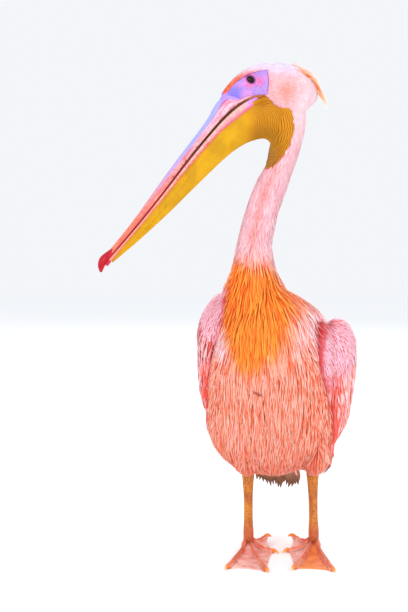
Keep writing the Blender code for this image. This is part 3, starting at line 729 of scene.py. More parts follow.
plumage_paint, tree, shader = material_named(
    "plumage_paint", 0.8, subsurface_weight=0.35, subsurface_scale=0.004)
root, tip = coloured_by_place(tree)
along, across, shade, tone = values_at(tree, "along", "across", "shade", "tone")
# tip colour along each strand; its edges keep the root colour, partly the feather's own and partly painted
# shade standing in for the gaps between strands
grown = along.ramp(-0.30, 0.80) - abs(across) ** 1.5 * 0.75
grown.socket.node.use_clamp = True
tone = shade * 0.12 + tone
coords = Field(add(tree, "ShaderNodeTexCoord").outputs["Object"])
off = coords - PAINTED_PARTING_AT
# painted shade of a parting between the belly's feathers, darkest along a line through it
parting_shade = abs(off.of("DOT_PRODUCT", (1.0, 0, 2))) + off.of("LENGTH") + spotted(tree, 260.0, 2.0, coords) * 0.030
colour = painted(root, (tip, grown), (root, tone.ramp(0.52, 0.70) * 0.85), (tip, tone.ramp(0.54, 0.40) * 0.6),
                 ((164, 52, 34), parting_shade.ramp(0.031, 0.023) * 0.85))
bright = add(tree, "ShaderNodeHueSaturation", {"Color": colour, "Value": shade * 0.20 + 0.92})
coloured(shader, Field(bright.outputs[0]))

BLADE = ((0.0, 0.30), (0.25, 0.50), (0.55, 0.44), (0.8, 0.25))
strand = blade("strand", BLADE)
on_crown, on_neck = step(height, 0.80, 0.801), step(height, 0.60, 0.601)
on_trunk = (1 - on_neck) * (1 - step(on_wing, 0.49, 0.51))
under, ahead = step(body_up, -0.02, -0.0201), step(body_back, -0.05, -0.0501)
for seed, (name, region, sizes) in enumerate((
    ("coat_head", on_crown * (1 - bare), {"Spacing": 0.0020, "Shaft": 0.00015, "Locks": 0.3}),
    ("coat_neck", on_neck * (1 - on_crown) * (1 - bare), {"Spacing": 0.0026, "Shaft": 0.00015, "Locks": 0.3}),
    ("coat_breast", on_trunk * under * ahead, {"Spacing": 0.0038, "Shaft": 0.0003}),
    ("coat_belly", on_trunk * under * (1 - ahead), {"Spacing": 0.0038, "Shaft": 0.0003}),
    ("coat_back", on_trunk * (1 - under), {"Spacing": 0.0044, "Shaft": 0.0003}),
), 1):
    grow(name, region, strand, plumage_paint, "plumage", Seed=seed, **sizes)
discard(strand)

# ---------------------------------------------------------------- folded wings
# Coverts like roof tiles over each folded wing, small at the wrist and long towards the tail,
# over a bundle of black flight feathers that shows below their edge.
QUILL_ROWS = (  # back along the trunk; side; height; half height; half thickness; bend radius
    (0.020, 0.118, -0.060, 0.010, 0.0030, 0.13), (0.085, 0.113, -0.050, 0.022, 0.0045, 0.13),
    (0.150, 0.096, -0.026, 0.024, 0.0050, 0.14), (0.220, 0.064, 0.006, 0.023, 0.0050, 0.18),
    (0.290, 0.034, 0.018, 0.018, 0.0045, 0.22), (0.345, 0.019, 0.020, 0.007, 0.0030, 0.22),
)
WING_SHIFT = 0.014  # the left bundle lies this much further back along the trunk, the right one forward
VANE = ((0, 0.22), (0.10, 0.42), (0.30, 0.50), (0.62, 0.46), (0.84, 0.30), (0.95, 0.14))
COVERT_HUES = {  # shaft side, vane and edge of a covert
    "left": ((240, 130, 112), (246, 202, 206), (226, 78, 36)),
    "right": ((236, 122, 112), (246, 198, 202), (176, 34, 38)),
}
vane, fluff = blade("vane", VANE, 2), blade("down", BLADE)
down_paint, tree, shader = material_named("wrist_down", 0.8, subsurface_weight=0.3, subsurface_scale=0.003)
along, shade, flush_at, furrow_shade_at = values_at(tree, "along", "shade", "flush", "red")
hot = (shade + 0.5) * flush_at
coloured(shader, painted(
    (238, 130, 146), ((250, 196, 210), along.ramp(0.1, 0.8)), ((236, 84, 70), hot.ramp(0.2, 0.9) * 0.85),
    # the last coat is painted shade in the furrow between breast and wing
    ((206, 60, 84), shade.ramp(0.94, 0.98) * 0.6), ((222, 50, 60), furrow_shade_at)))

wing_region = {name: step(on_wing * (side_of == side), 0.49, 0.51) for name, side in SIDES.items()}
back_of_wing = step(body_back, -0.14, 0.16)
lobe_at = step(body_back, *np.where(side_of == LEFT, [[-0.080], [-0.100]], [[-0.125], [-0.145]]))
for name, side in SIDES.items():
    grow("wrist_" + name, wing_region[name] * step(lobe_at, 0.0, 0.9), fluff, down_paint, "coverts",
         Spacing=0.0030, Shaft=0.0002, Seed=20 + side)
for key, values in (("feather_length", np.minimum(0.040 + 0.056 * back_of_wing, room)),
                    ("feather_width", 0.0056 + 0.0058 * back_of_wing),
                    ("coat_depth", 0.0045 + 0.003 * back_of_wing)):
    skin.data.attributes[key].data.foreach_set("value", values.astype(np.float32))
for name, side in SIDES.items():
    covert_paint, tree, shader = material_named(
        "covert_" + name, 0.75, subsurface_weight=0.2, subsurface_scale=0.003)
    along, across, shade, flush_at, furrow_shade_at, dusk_at = values_at(
        tree, "along", "across", "shade", "flush", "red", "dusk")
    aside, hot, (root, middle, rim) = abs(across), (shade + 0.5) * flush_at, COVERT_HUES[name]
    coloured(shader, painted(
        root, (middle, along.ramp(0.1, 0.7)),
        (rim, aside.ramp(0.25, 0.62) * shade.ramp(0.0, 0.3) * 0.95),
        ((206, 84, 90), aside.ramp(0.20, 0.02) * shade.ramp(0.5, 0.1) * 0.6),
        # furrow_shade_at lays painted shade from the furrow between breast and wing
        ((226, 66, 34), hot.ramp(0.15, 0.8) * 0.9), ((206, 40, 36), furrow_shade_at * 0.9),
        ((74, 36, 30), dusk_at * (along.ramp(0.25, 0.75) * shade.ramp(0.10, 0.55)) * 0.9)))
    thinned = 0.45 + 0.55 * (1 - back_of_wing)
    grow("coverts_" + name, wing_region[name] * (1 - step(lobe_at, 0.3, 1.0)) * thinned, vane, covert_paint,
         "coverts", Spacing=0.0056, Seed=7 + side, Shaft=0.0007, Ruffle=0.2, Sway=0.05, Locks=0.25)
discard(vane, fluff)

QUILLS = 11  # flight feathers that show in each folded wing
QUILL_STEPS = 26
SHADE_STEP = 0.618  # from one vane's shade to the next one's, so that neighbours differ
ACROSS = (-1, -0.5, -0.08, 0, 0.08, 0.5, 1, 0.9, 0, 0.9)  # the ten points round a shafted vane


def columns(rows, place_of, *which):
    """Some columns of a table of rows, read at any place along the first."""
    table = np.array(rows)
    return [np.interp(place_of, table[:, 0], table[:, k]) for k in which]


def quill_place(side, y, level, depth):
    """A point on the bundle of flight feathers: level runs from -1, its lower edge, to 1."""
    out, up, tall, thick, bend = columns(QUILL_ROWS, y, 1, 2, 3, 4, 5)
    turn, reach = tall * level / bend, bend + thick * depth
    x = out - bend + reach * np.cos(turn)
    return np.stack([side * x, y + WING_SHIFT * side, up + reach * np.sin(turn)], -1)


def vane_strip(middle, left, right, thickness=0.0005, shaft=0.0011):
    """A closed feather from three lines: its shaft and both edges."""
    over = unit(np.cross(right - left, np.gradient(middle, axis=0)))
    rings = []
    for share_across in ACROSS[:7]:
        edge = left if share_across < 0 else right
        proud = shaft if share_across == 0 else 0
        rings.append(middle + (edge - middle) * abs(share_across) + over * proud)
    for edge, k in ((right, 0.9), (middle, 0), (left, 0.9)):
        rings.append(middle + (edge - middle) * k - over * thickness)
    return np.stack(rings, 1)


def joined(name, bundles):
    """One mesh from several vanes, with values that run along and across each and a shade for each."""
    points, faces, along, across, shade = [], [], [], [], []
    for k, rings in enumerate(bundles):
        count, around = rings.shape[:2]
        faces += ring_faces(count, around, first=sum(len(p) for p in points))
        points += [rings.reshape(-1, 3), rings[0].mean(axis=0)[None], rings[-1].mean(axis=0)[None]]
        along += [i / (count - 1) for i in range(count) for _ in range(around)] + [0, 1]
        across += [abs(v) for v in ACROSS] * count + [0, 0]
        shade += [(k * SHADE_STEP) % 1] * (count * around + 2)
    piece = mesh_piece(name, np.vstack(points), faces)
    for key, values in (("along", along), ("across", across), ("shade", shade)):
        give(piece, key, values)
    piece.data.set_sharp_from_angle(angle=SHARP)
    return piece


quill_paint, tree, shader = material_named("quill_paint", 0.45, coat_weight=0.1)
[across] = values_at(tree, "across")
coloured(shader, painted(
    (60, 48, 50), ((28, 24, 26), across.ramp(0.2, 0.9)), ((150, 120, 110), across.ramp(0.10, 0.02))))
for name, side in SIDES.items():
    bundles = []
    for k in range(QUILLS):
        order, t = k / (QUILLS - 1), np.linspace(0, 1, QUILL_STEPS)
        y = np.linspace(0.022 + 0.085 * order, 0.165 + 0.178 * order, QUILL_STEPS)
        half = 0.34 * np.sin(np.clip(t * 1.25 + 0.12, 0, math.pi / 2 * 0.999)) * step(t, 1.04, 0.86) + 0.01
        level, depth = -0.62 + 0.95 * order * (1 - 0.4 * t), 0.9 - 1.5 * order
        bundles.append(vane_strip(*(
            carried(BODY, quill_place(side, y, level + half * e, depth)) for e in (0, -side, side))))
    quills = joined("quills_" + name, bundles)
    quills.data.materials.append(quill_paint)
    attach(quills, "root")
    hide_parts("flight_feathers_" + name)

# ---------------------------------------------------------------- tail
# A short fan of broad feathers, arched across and worn, brown towards the tips: partly their colour and
# partly painted shade under the body.
TAIL_ROWS = (  # back along the trunk, height, half width, thickness
    (0.170, -0.004, 0.030, 0.012), (0.230, -0.001, 0.038, 0.011), (0.280, 0.002, 0.047, 0.008),
    (0.325, 0.002, 0.053, 0.006), (0.352, 0.001, 0.042, 0.0045),
)
TAIL_SET = 0.010  # how far the tail is swung to the left
TAIL_ARCH = 5.0  # how strongly the fan arches across, per metre
TAIL_FEATHERS = 15
noise = np.random.default_rng(5)
bundles = []
for k in range(TAIL_FEATHERS):
    spot, t, worn = 2 * k / (TAIL_FEATHERS - 1) - 1, np.linspace(0, 1, 24), noise.uniform(0.0, 0.022)
    y = 0.165 + (0.192 - 0.022 * spot**2 - worn) * t
    level, reach, thick = columns(TAIL_ROWS, y, 1, 2, 3)
    half = 0.0092 * np.sin(np.clip(t * 1.6 + 0.15, 0, math.pi / 2)) * step(t, 1.06, 0.70) + 0.0004
    lines = []
    for e in (0, -1, 1):
        at = reach * spot * 0.86 + half * e
        up = level - TAIL_ARCH * at**2 + thick * (0.75 - 1.3 * abs(spot)) + 0.0012 * e * np.sign(spot or 1)
        lines.append(carried(BODY, np.stack([at + TAIL_SET, y, up], -1)))
    bundles.append(vane_strip(*lines))
tail = joined("tail_fan", bundles)
tail_paint, tree, shader = material_named("tail_paint", 0.7)
along, across, shade = values_at(tree, "along", "across", "shade")
barb = spotted(tree, 420.0, 3.0)
coloured(shader, painted(
    # the brown towards the tips is partly the feathers' colour and partly painted shade under the body
    (232, 168, 150), ((222, 156, 120), shade.ramp(0.2, 0.8)), ((104, 56, 22), along.ramp(0.45, 0.92)),
    ((190, 120, 50), barb.ramp(0.50, 0.62) * 0.5), ((72, 42, 24), across.ramp(0.10, 0.0))))
tail.data.materials.append(tail_paint)
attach(tail, "root")
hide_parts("tail")

# Pale coverts hide the root of the tail above and below.
TAIL_COVERTS = 90
noise = np.random.default_rng(6)
bundles = []
for k in range(TAIL_COVERTS):
    spot, face, t = noise.uniform(-1, 1), 1 if k % 3 else -1, np.linspace(0, 1, 12)
    y = 0.196 + 0.030 * noise.uniform(0, 1) + noise.uniform(0.045, 0.066) * t
    level, reach, thick = columns(TAIL_ROWS, y, 1, 2, 3)
    half = 0.0030 * np.sin(np.clip(t * 1.9 + 0.5, 0, math.pi * 0.975)) + 0.0001
    lift = thick * 0.75 + 0.0065 * (1 - 0.55 * t) + 0.002 * (k / TAIL_COVERTS)
    lines = []
    for e in (0, -face, face):
        at = reach * spot * 0.90 + half * e
        lines.append(carried(BODY, np.stack([at + TAIL_SET, y, level - TAIL_ARCH * at**2 + face * lift], -1)))
    bundles.append(vane_strip(*lines, thickness=0.0003, shaft=0.0005))
skin_outside = BVHTree.FromPolygons(
    [v.co for v in skin.data.vertices], [p.vertices for p in skin.data.polygons])


def rooted(piece, bundles):
    """The OFBake map, in which each plume is a small patch at its root's place on the skin's unwrap."""
    unwrap, spots = skin.data.uv_layers["OFBake"].data, []
    for rings in bundles:
        under = skin_outside.find_nearest(Vector(rings[0].mean(axis=0)))[2]
        spots += [unwrap[skin.data.polygons[under].loop_start].uv] * (rings.shape[0] * rings.shape[1] + 2)
    spots = np.array(spots)
    for i, key in enumerate(("across", "along")):
        spots[:, i] += FEATHER_PATCH[i] * read_out(piece.data.attributes[key].data, "value")
    corners = read_out(piece.data.loops, "vertex_index", kind=np.int32)
    piece.data.uv_layers.new(name="OFBake").data.foreach_set("uv", spots[corners].astype(np.float32).ravel())


hidden = joined("tail_coverts", bundles)
rooted(hidden, bundles)
hidden_paint, tree, shader = material_named(
    "tail_covert_paint", 0.8, subsurface_weight=0.2, subsurface_scale=0.003)
along, across = values_at(tree, "along", "across")
coloured(shader, painted(
    (236, 96, 60), ((250, 190, 186), along.ramp(0.1, 0.6)), ((236, 110, 80), across.ramp(0.45, 0.95))))
hidden.data.materials.append(hidden_paint)
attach(hidden, "root")

# ---------------------------------------------------------------- face and eyes
# A patch of bare leathery skin on each side of the face, from brow to bill, with a ringed lid
# round a dark eye. Its rim tucks under the feathers.
EYE_RADIUS, EYE_OPENING = 0.0085, 0.0056
EYE_PLACE = (0.0895, 0.0217, 0.9196)  # forward, to the side, height
FACE_RINGS, FACE_AROUND, EDGE_STEPS = 54, 220, 40
EYE_RINGS, EYE_AROUND = 40, 48
CREASES = 26  # shallow ones, most of them running round the eye
ASIDE = 0.09  # further out to the side than head and neck reach
FACE_THICKNESS = 0.0022
LID_RISE = 0.0017


def skull_at(forward, height, side):
    """Where the skull's side is at each place seen from the side, and the way it faces."""
    found, faces = [], []
    for a, z in zip(forward, height):
        start = HEAD @ Vector((a, side * ASIDE, z))
        hit = skull_surface.ray_cast(start, HEAD.to_3x3() @ Vector((0, -side, 0)))
        if hit[0] is None or (HEAD.inverted() @ hit[0]).y * side < 0:
            hit = skull_surface.find_nearest(HEAD @ Vector((a, side * 0.006, z)))
        found.append(hit[0])
        faces.append(hit[1])
    return np.array(found), np.array(faces)


angle = turns(FACE_AROUND)
edge = np.array(FACE_EDGE + FACE_EDGE[:1])
span = np.concatenate([np.linspace(one, two, EDGE_STEPS, endpoint=False) for one, two in zip(edge, edge[1:])])
turn = np.arctan2(span[:, 1] - EYE_PLACE[2], span[:, 0] - EYE_PLACE[0]) % (2 * math.pi)
order = np.argsort(turn)
from_eye = np.hypot(*(span - np.array(EYE_PLACE)[[0, 2]]).T)[order]
rim = np.interp(angle, turn[order], from_eye, period=2 * math.pi)
rim = np.array([rim[np.arange(k - 1, k + 2) % FACE_AROUND].mean() for k in range(FACE_AROUND)]) + 0.0012
grow_out = np.linspace(0, 1, FACE_RINGS)[:, None] ** 1.25
radius = EYE_OPENING + (rim[None] - EYE_OPENING) * grow_out
forward, height_at = EYE_PLACE[0] + radius * np.cos(angle)[None], EYE_PLACE[2] + radius * np.sin(angle)[None]
noise = np.random.default_rng(4)
crease = np.zeros_like(radius)
for _ in range(CREASES):
    k, phase, share_of = noise.uniform(500, 1900), noise.uniform(0, 6.3), noise.uniform(0.2, 1.0)
    bend_k = noise.integers(1, 6)
    crease += share_of * np.sin(k * radius + phase + 0.8 * np.sin(bend_k * angle[None] + phase))
crease = crease / 8.0
face_paint, tree, shader = material_named(
    "face_skin", 0.5, subsurface_weight=0.15, subsurface_scale=0.003, coat_weight=0.08,
    subsurface_radius=(1.0, 0.4, 0.5))
coords = Field(add(tree, "ShaderNodeTexCoord").outputs["Object"])
ring_at, crease_at, pink_at, blue_at = values_at(tree, "ring", "crease", "pink", "blue")
pore = Field(add(tree, "ShaderNodeTexVoronoi", {"Vector": coords, "Scale": 900.0}).outputs["Distance"])
# painted shade in the troughs of the face's creases, broken by noise
crease_shade = crease_at.ramp(0.48, 0.16) * spotted(tree, 190.0, 2.0, coords).ramp(0.44, 0.60)
coloured(shader, painted(
    (162, 126, 204), ((196, 128, 196), spotted(tree, 70.0, 4.0, coords).ramp(0.44, 0.60)),
    ((222, 92, 150), pink_at), ((120, 104, 214), blue_at), ((150, 26, 104), ring_at.ramp(0.25, 0.9)),
    ((104, 50, 146), crease_shade * 0.8)), pore, 0.25, 0.0003)

eye_paint, tree, shader = material_named(
    "eye_gloss", 0.08, coat_weight=0.12, coat_roughness=0.03, specular_ior_level=0.12)
[gaze] = values_at(tree, "gaze")
coloured(shader, painted(
    (5, 4, 8), ((58, 18, 18), gaze.ramp(0.46, 0.54)), ((20, 8, 14), gaze.ramp(0.68, 0.78))))

lid = LID_RISE * bell(radius - 0.0076, 0.0012) + 0.0008 * bell(radius - 0.0112, 0.0010)
socket_dip = -0.0022 * step(radius, 0.0070, EYE_OPENING) + 0.0016 * step(radius, 0.020, 0.0085)
tuck = -0.0032 * step(grow_out, 0.93, 1.0) + 0.0007 * bell(grow_out - 0.90, 0.05)
raised = 0.0006 + lid + socket_dip + 0.00042 * crease * step(grow_out, 1.0, 0.9) + tuck
ring = bell(radius - 0.0080, 0.0016) * 0.7
ring = ring + bell(rim[None] - radius - 0.0022, 0.0011) * step(height_at, 0.896, 0.901)
pink = bell(forward - 0.0745, 0.0075) * bell(height_at - 0.9175, 0.0080)
pink = np.maximum(pink, 0.9 * bell(forward - 0.094, 0.0070) * bell(height_at - 0.9095, 0.0038))
pink = np.maximum(pink, 0.5 * bell(radius - 0.010, 0.003))
blue = step(forward, 0.098, 0.118) * step(height_at, 0.918, 0.900)
angles, spin = np.linspace(0, math.pi, EYE_RINGS)[1:-1], turns(EYE_AROUND)
bulge = EYE_RADIUS * (1 + 0.05 * step(angles, 0.75, 0.25))  # the eyeball's shallow cornea
for name, side in SIDES.items():
    at, faces = skull_at(forward.ravel(), height_at.ravel(), side)
    outer, inner = at + faces * raised.reshape(-1, 1), at - faces * FACE_THICKNESS
    shape = radius.shape + (3,)
    rings = np.concatenate([outer.reshape(shape), inner.reshape(shape)[::-1]])
    face = ring_mesh("face_" + name, rings, hoop=True)
    for key, values in (("ring", ring), ("pink", pink), ("blue", blue), ("crease", 0.5 + 0.5 * crease)):
        give(face, key, np.concatenate([values, values[::-1]]).ravel())
    face.data.materials.append(face_paint)
    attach(face, "root")

    rings = []
    for a, r in zip(angles, bulge):
        flat = r * math.sin(a)
        band = [flat * np.cos(spin), np.full(EYE_AROUND, side * r * math.cos(a)), flat * np.sin(spin)]
        rings.append(np.stack(band, -1) + (EYE_PLACE[0], side * EYE_PLACE[1], EYE_PLACE[2]))
    eye = ring_mesh("eyeball_" + name, carried(HEAD, rings))
    give(eye, "gaze", np.append(np.repeat(angles, EYE_AROUND), (0, math.pi)))
    eye.data.materials.append(eye_paint)
    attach(eye, "root")
    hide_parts("eye_" + name)

# ---------------------------------------------------------------- crest
# Loose silky plumes at the back of the head, orange above and paler at their tips.
CREST_ROWS = (  # forward, height, half width
    (-0.006, 0.9460, 0.0150), (-0.026, 0.9390, 0.0150), (-0.046, 0.9250, 0.0120),
    (-0.062, 0.9070, 0.0095), (-0.075, 0.8850, 0.0060), (-0.079, 0.8700, 0.0040),
)
PLUMES = 104
CREST_SWEPT = 0.019  # how far the plumes are blown to the left
CREST_HUB = Vector((0.000, 0, 0.905))  # the middle of the back of the skull, which the plumes bend round
crest_rows = smooth_rows(CREST_ROWS, 80)
noise = np.random.default_rng(8)


def over_nape(at, proud, lift):
    """A place in line with the hub, so far outside the coat of head and nape, or further by its own share."""
    way = Vector(at) - CREST_HUB
    out = way.normalized()
    hit = flesh_surface.ray_cast(HEAD @ (CREST_HUB + out * 0.12), HEAD.to_3x3() @ -out)[0]
    reach = (HEAD.inverted() @ hit - CREST_HUB).length if hit is not None else 0
    return CREST_HUB + out * (reach + proud + lift * max(way.length - reach - proud, 0))


bundles = []
for k in range(PLUMES):
    spot, layer, start = noise.uniform(-1, 1), noise.uniform(0, 1), noise.uniform(-0.10, 0.60)
    t, length = np.linspace(0, 1, 12), noise.uniform(0.24, 0.46) * (1 - 0.3 * abs(spot))
    place_along = np.clip(start + length * t, 0, 1)
    a, z, wide = (np.interp(place_along, np.linspace(0, 1, 80), crest_rows[:, i]) for i in range(3))
    proud = -0.0016 * (1 - t) ** 3 + (0.0006 + 0.0036 * layer) * t + 0.0060 * max(layer - 0.4, 0) / 0.6 * t**2
    side = CREST_SWEPT * (1 - 0.3 * t) + spot * wide * (1.25 - 0.3 * layer) + 0.0010 * np.sin(3 * t + k)
    middle = np.array([over_nape(at, *out) for *at, out in zip(a, side, z, zip(proud, step(t, 0.0, 0.7)))])
    half = noise.uniform(0.00035, 0.0008) * np.sin(np.clip(t * 1.7 + 0.35, 0, math.pi * 0.975)) + 0.00008
    wing = np.stack([0 * half, half, 0.4 * half * spot], -1)
    lines = (carried(HEAD, line) for line in (middle, middle + wing, middle - wing))
    bundles.append(vane_strip(*lines, thickness=0.0003, shaft=0.0003))
crest = joined("crest_plumes", bundles)
rooted(crest, bundles)
crest_paint, tree, shader = material_named("crest_paint", 0.7, sheen_weight=0.2)
along, shade = values_at(tree, "along", "shade")
coloured(shader, painted(
    (250, 138, 74), ((255, 200, 150), shade.ramp(0.15, 0.7)), ((255, 226, 214), along.ramp(0.35, 0.95))))
crest.data.materials.append(crest_paint)
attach(crest, "root")
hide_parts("crest")

# ---------------------------------------------------------------- bill
# Two long horny jaws that meet along the mouth's line, the upper one ridged and ending in a
# hooked red nail. The gape's line carries both, as it does in the solids.
GAPE = (  # from the mouth's corner to the tip: forward, height
    (0.054, 0.893), (0.080, 0.891), (0.107, 0.878), (0.134, 0.857), (0.1625, 0.828),
    (0.208, 0.777), (0.254, 0.722), (0.300, 0.6685), (0.346, 0.6185), (0.371, 0.5925),
)
UPPER_ROWS = ((0.0292, 0.0016), (0.0250, 0.0150), (0.0205, 0.0235), (0.0185, 0.0150), (0.0158, 0.0112),
              (0.0146, 0.0102), (0.0136, 0.0086), (0.0120, 0.0054), (0.0104, 0.0036), (0.0098, 0.0036))
LOWER_ROWS = ((0.0215, 0.0030), (0.0238, 0.0180), (0.0215, 0.0222), (0.0180, 0.0165), (0.0155, 0.0112),
              (0.0134, 0.0080), (0.0108, 0.0062), (0.0070, 0.0092))  # half width, depth
MOUTH_SWELL = 0.0016  # how far each jaw's biting face swells towards the other
JAW_INSET = (0.985, 0.97)  # the horn keeps just inside the solid jaws, in width and depth
BILL_RINGS, BILL_AROUND, GAPE_STEPS = 190, 72, 1200


def squared(values, power):
    """A wave with fuller shoulders."""
    return np.sign(values) * np.abs(values) ** power


def jaw(name, rows, first, last, upper):
    """A jaw in rings along the mouth's line, with how far each point is along and up it."""
    line = smooth_rows(GAPE, GAPE_STEPS + 1)
    way = unit(np.gradient(line, axis=0))
    k = np.round(np.linspace(first, last, BILL_RINGS) * GAPE_STEPS).astype(int)
    point, rise = line[k], np.stack([-way[k][:, 1], way[k][:, 0]], -1) * (1 if upper else -1)
    size, angle = smooth_rows(rows, BILL_RINGS), turns(BILL_AROUND)
    across, up = squared(np.cos(angle), 0.8), squared(np.sin(angle), 0.8)
    crown = np.where(up > 0, up, 0)[None] * size[:, 1:2] * JAW_INSET[1]
    low = np.where(up < 0, up, 0)[None] * MOUTH_SWELL
    # a rounded ridge runs down the upper jaw's middle, with a groove and a flat flange beside it
    ridge = -0.20 * bell(np.abs(across) - 0.46, 0.13) if upper else -0.10 * bell(up - 0.55, 0.12)
    crown = crown * (1 + ridge * np.where(up > 0.1, 1, 0))[None] + low + MOUTH_SWELL
    side = across[None] * size[:, 0:1] * JAW_INSET[0]
    rings = np.stack([point[:, 0:1] + rise[:, 0:1] * crown, side, point[:, 1:2] + rise[:, 1:2] * crown], -1)
    piece = ring_mesh(name, carried(HEAD, rings))
    give(piece, "along", np.append(np.repeat(np.linspace(0, 1, BILL_RINGS), BILL_AROUND), (0, 1)))
    give(piece, "girth", np.append(np.tile(up, BILL_RINGS), (0, 0)))
    return piece


def grain_of(stretch, scale):
    """Fibres that run down the horn, or across it where stretch is large."""
    at = Field(add(along.tree, "ShaderNodeCombineXYZ", {0: along * stretch, 1: girth}).outputs[0])
    return spotted(along.tree, scale, 5.0, at)


# brown, and red further along, painted on both jaws beside the mouth's line: painted shade of the gap between
# the jaws
GAPE_SHADE, RED_GAPE_SHADE = (104, 52, 22), (176, 56, 50)
horn_paint, tree, shader = material_named("upper_horn", 0.42, coat_weight=0.2, coat_roughness=0.3)
along, girth = values_at(tree, "along", "girth")
fibre, fleck, hatch = grain_of(1.2, 9.0), grain_of(22.0, 3.0), grain_of(160.0, 1.4)
# the ridge along the top of the upper jaw, painted lilac-blue: painted shade on its upper, far side
culmen_shade = (fibre * 0.20 + girth).ramp(0.86, 1.02)
stripe = abs(girth - 0.82).ramp(0.07, 0.02) * along.ramp(0.34, 0.22)
nostril = along.ramp(0.185, 0.15) * girth.ramp(0.45, 0.60)
blot = fleck.ramp(0.56, 0.64) * (along.ramp(0.40, 0.46) * along.ramp(0.72, 0.62))
coloured(shader, painted(
    (228, 166, 186), ((210, 96, 136), fibre.ramp(0.44, 0.60)),
    ((240, 200, 186), hatch.ramp(0.50, 0.66) * 0.5),
    ((216, 104, 56), along.ramp(0.35, 0.85) * 0.85),
    ((230, 84, 44), along.ramp(0.25, 0.75) * fleck.ramp(0.48, 0.60) * 0.75),
    ((170, 14, 56), along.ramp(0.42, 0.62) * fibre.ramp(0.50, 0.60) * girth.ramp(0.9, 0.5)),
    ((150, 152, 228), culmen_shade * along.ramp(0.82, 0.45)), ((196, 24, 96), stripe * along.ramp(0.115, 0.13)),
    ((214, 104, 196), nostril * girth.ramp(0.80, 0.72)), ((122, 62, 20), blot * girth.ramp(0.45, 0.25)),
    # painted shade of the gap between the jaws, along the upper jaw's biting edge
    (painted(GAPE_SHADE, (RED_GAPE_SHADE, along.ramp(0.45, 0.75))), (fleck * 0.16 + girth).ramp(0.23, 0.13)),
), fibre, 0.3, 0.0008)

lower_paint, tree, shader = material_named("lower_horn", 0.45, coat_weight=0.15, coat_roughness=0.3)
along, girth = values_at(tree, "along", "girth")
hatch, fibre, fleck = grain_of(150.0, 1.4), grain_of(1.4, 8.0), grain_of(24.0, 3.0)
rosy = fleck.ramp(0.46, 0.60) * along.ramp(0.30, 0.55)
coloured(shader, painted(
    (224, 176, 166), ((206, 128, 140), hatch.ramp(0.42, 0.60)),
    ((228, 200, 128), along.ramp(0.34, 0.12) * 0.22),
    ((222, 96, 126), (fibre * 0.30 + girth).ramp(0.62, 0.90)), ((232, 70, 76), rosy * girth.ramp(0.25, 0.55)),
    ((200, 120, 226), along.ramp(0.26, 0.10) * girth.ramp(0.95, 0.45)),
    ((220, 128, 80), along.ramp(0.45, 0.90) * 0.6),
    # painted shade of the gap between the jaws, along the lower jaw's biting edge
    (painted(GAPE_SHADE, (RED_GAPE_SHADE, along.ramp(0.45, 0.75))), girth.ramp(0.09, 0.03)),
    ((186, 10, 34), along.ramp(0.955, 0.970)),
), hatch, 0.3, 0.0006)

upper = jaw("upper_jaw", UPPER_ROWS, 0.113, 0.955, True)
lower = jaw("lower_jaw", LOWER_ROWS, 0.0, 0.99, False)
for piece, node, finish in ((upper, "bill_upper", horn_paint), (lower, "bill_lower", lower_paint)):
    piece.data.materials.append(finish)
    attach(piece, "root")
    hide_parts(node)

NAIL_ROWS = (  # forward, height, half width, half depth
    (0.3480, 0.6165, 0.0084, 0.0036), (0.3595, 0.6070, 0.0100, 0.0060), (0.3695, 0.5975, 0.0098, 0.0074),
    (0.3740, 0.5865, 0.0070, 0.0056), (0.3744, 0.5765, 0.0022, 0.0020),
)
rows, angle = smooth_rows(NAIL_ROWS, 40), turns(40)
rings = [
    np.stack([a - w[1] * deep * np.sin(angle), wide * np.cos(angle), z + w[0] * deep * np.sin(angle)], -1)
    for (a, z, wide, deep), w in zip(rows, unit(np.gradient(rows[:, :2], axis=0)))
]
nail = ring_mesh("nail", carried(HEAD, rings))
nail_paint, tree, shader = material_named("nail_horn", 0.4, specular_ior_level=0.25)
mottle = spotted(tree, 160.0, 4.0)
coloured(shader, painted((164, 0, 24), ((206, 24, 44), mottle.ramp(0.48, 0.74))), mottle, 0.2, 0.0005)
nail.data.materials.append(nail_paint)
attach(nail, "root")
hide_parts("bill_nail")

# ---------------------------------------------------------------- pouch
# The empty pouch of thin elastic skin hangs like a sail from the lower jaw and wraps the
# throat, where it shrinks into fine upright wrinkles.
POUCH_ROWS = (  # upper edge, lower edge (forward, height), half width above and below
    (0.356, 0.6015, 0.352, 0.5930, 0.0030, 0.0025), (0.316, 0.642, 0.304, 0.6295, 0.0080, 0.0032),
    (0.260, 0.707, 0.245, 0.6780, 0.0105, 0.0036), (0.203, 0.773, 0.188, 0.7285, 0.0125, 0.0040),
    (0.146, 0.837, 0.130, 0.7785, 0.0150, 0.0042), (0.098, 0.873, 0.094, 0.8025, 0.0195, 0.0044),
    (0.051, 0.892, 0.066, 0.8132, 0.0240, 0.0048), (0.014, 0.880, 0.0455, 0.8155, 0.0240, 0.0052),
    (-0.013, 0.862, 0.0325, 0.806, 0.0240, 0.0056), (-0.014, 0.824, 0.0285, 0.793, 0.0240, 0.0058),
    (-0.002, 0.793, 0.0285, 0.780, 0.0240, 0.0060), (0.014, 0.769, 0.0320, 0.768, 0.0200, 0.0060),
    (0.025, 0.757, 0.0340, 0.759, 0.0100, 0.0050),
)
POUCH_RINGS, POUCH_AROUND = (70, 300), 160  # rings along the jaw and round the throat
POUCH_LIES, POUCH_TUCK = 0.0012, 0.0036  # how deep it lies in the coat where bare, and where hidden
WRINKLE, FOLD_APART = 0.00055, 0.0034  # depth of a fold and the distance between two
TO_THROAT = 0.42  # how far along the pouch its closer rings start
POUCH_STEPS = 1201
along = np.linspace(0, TO_THROAT, POUCH_RINGS[0], endpoint=False)
along = np.append(along, np.linspace(TO_THROAT, 1, POUCH_RINGS[1]))
rows = smooth_rows(POUCH_ROWS, POUCH_STEPS)
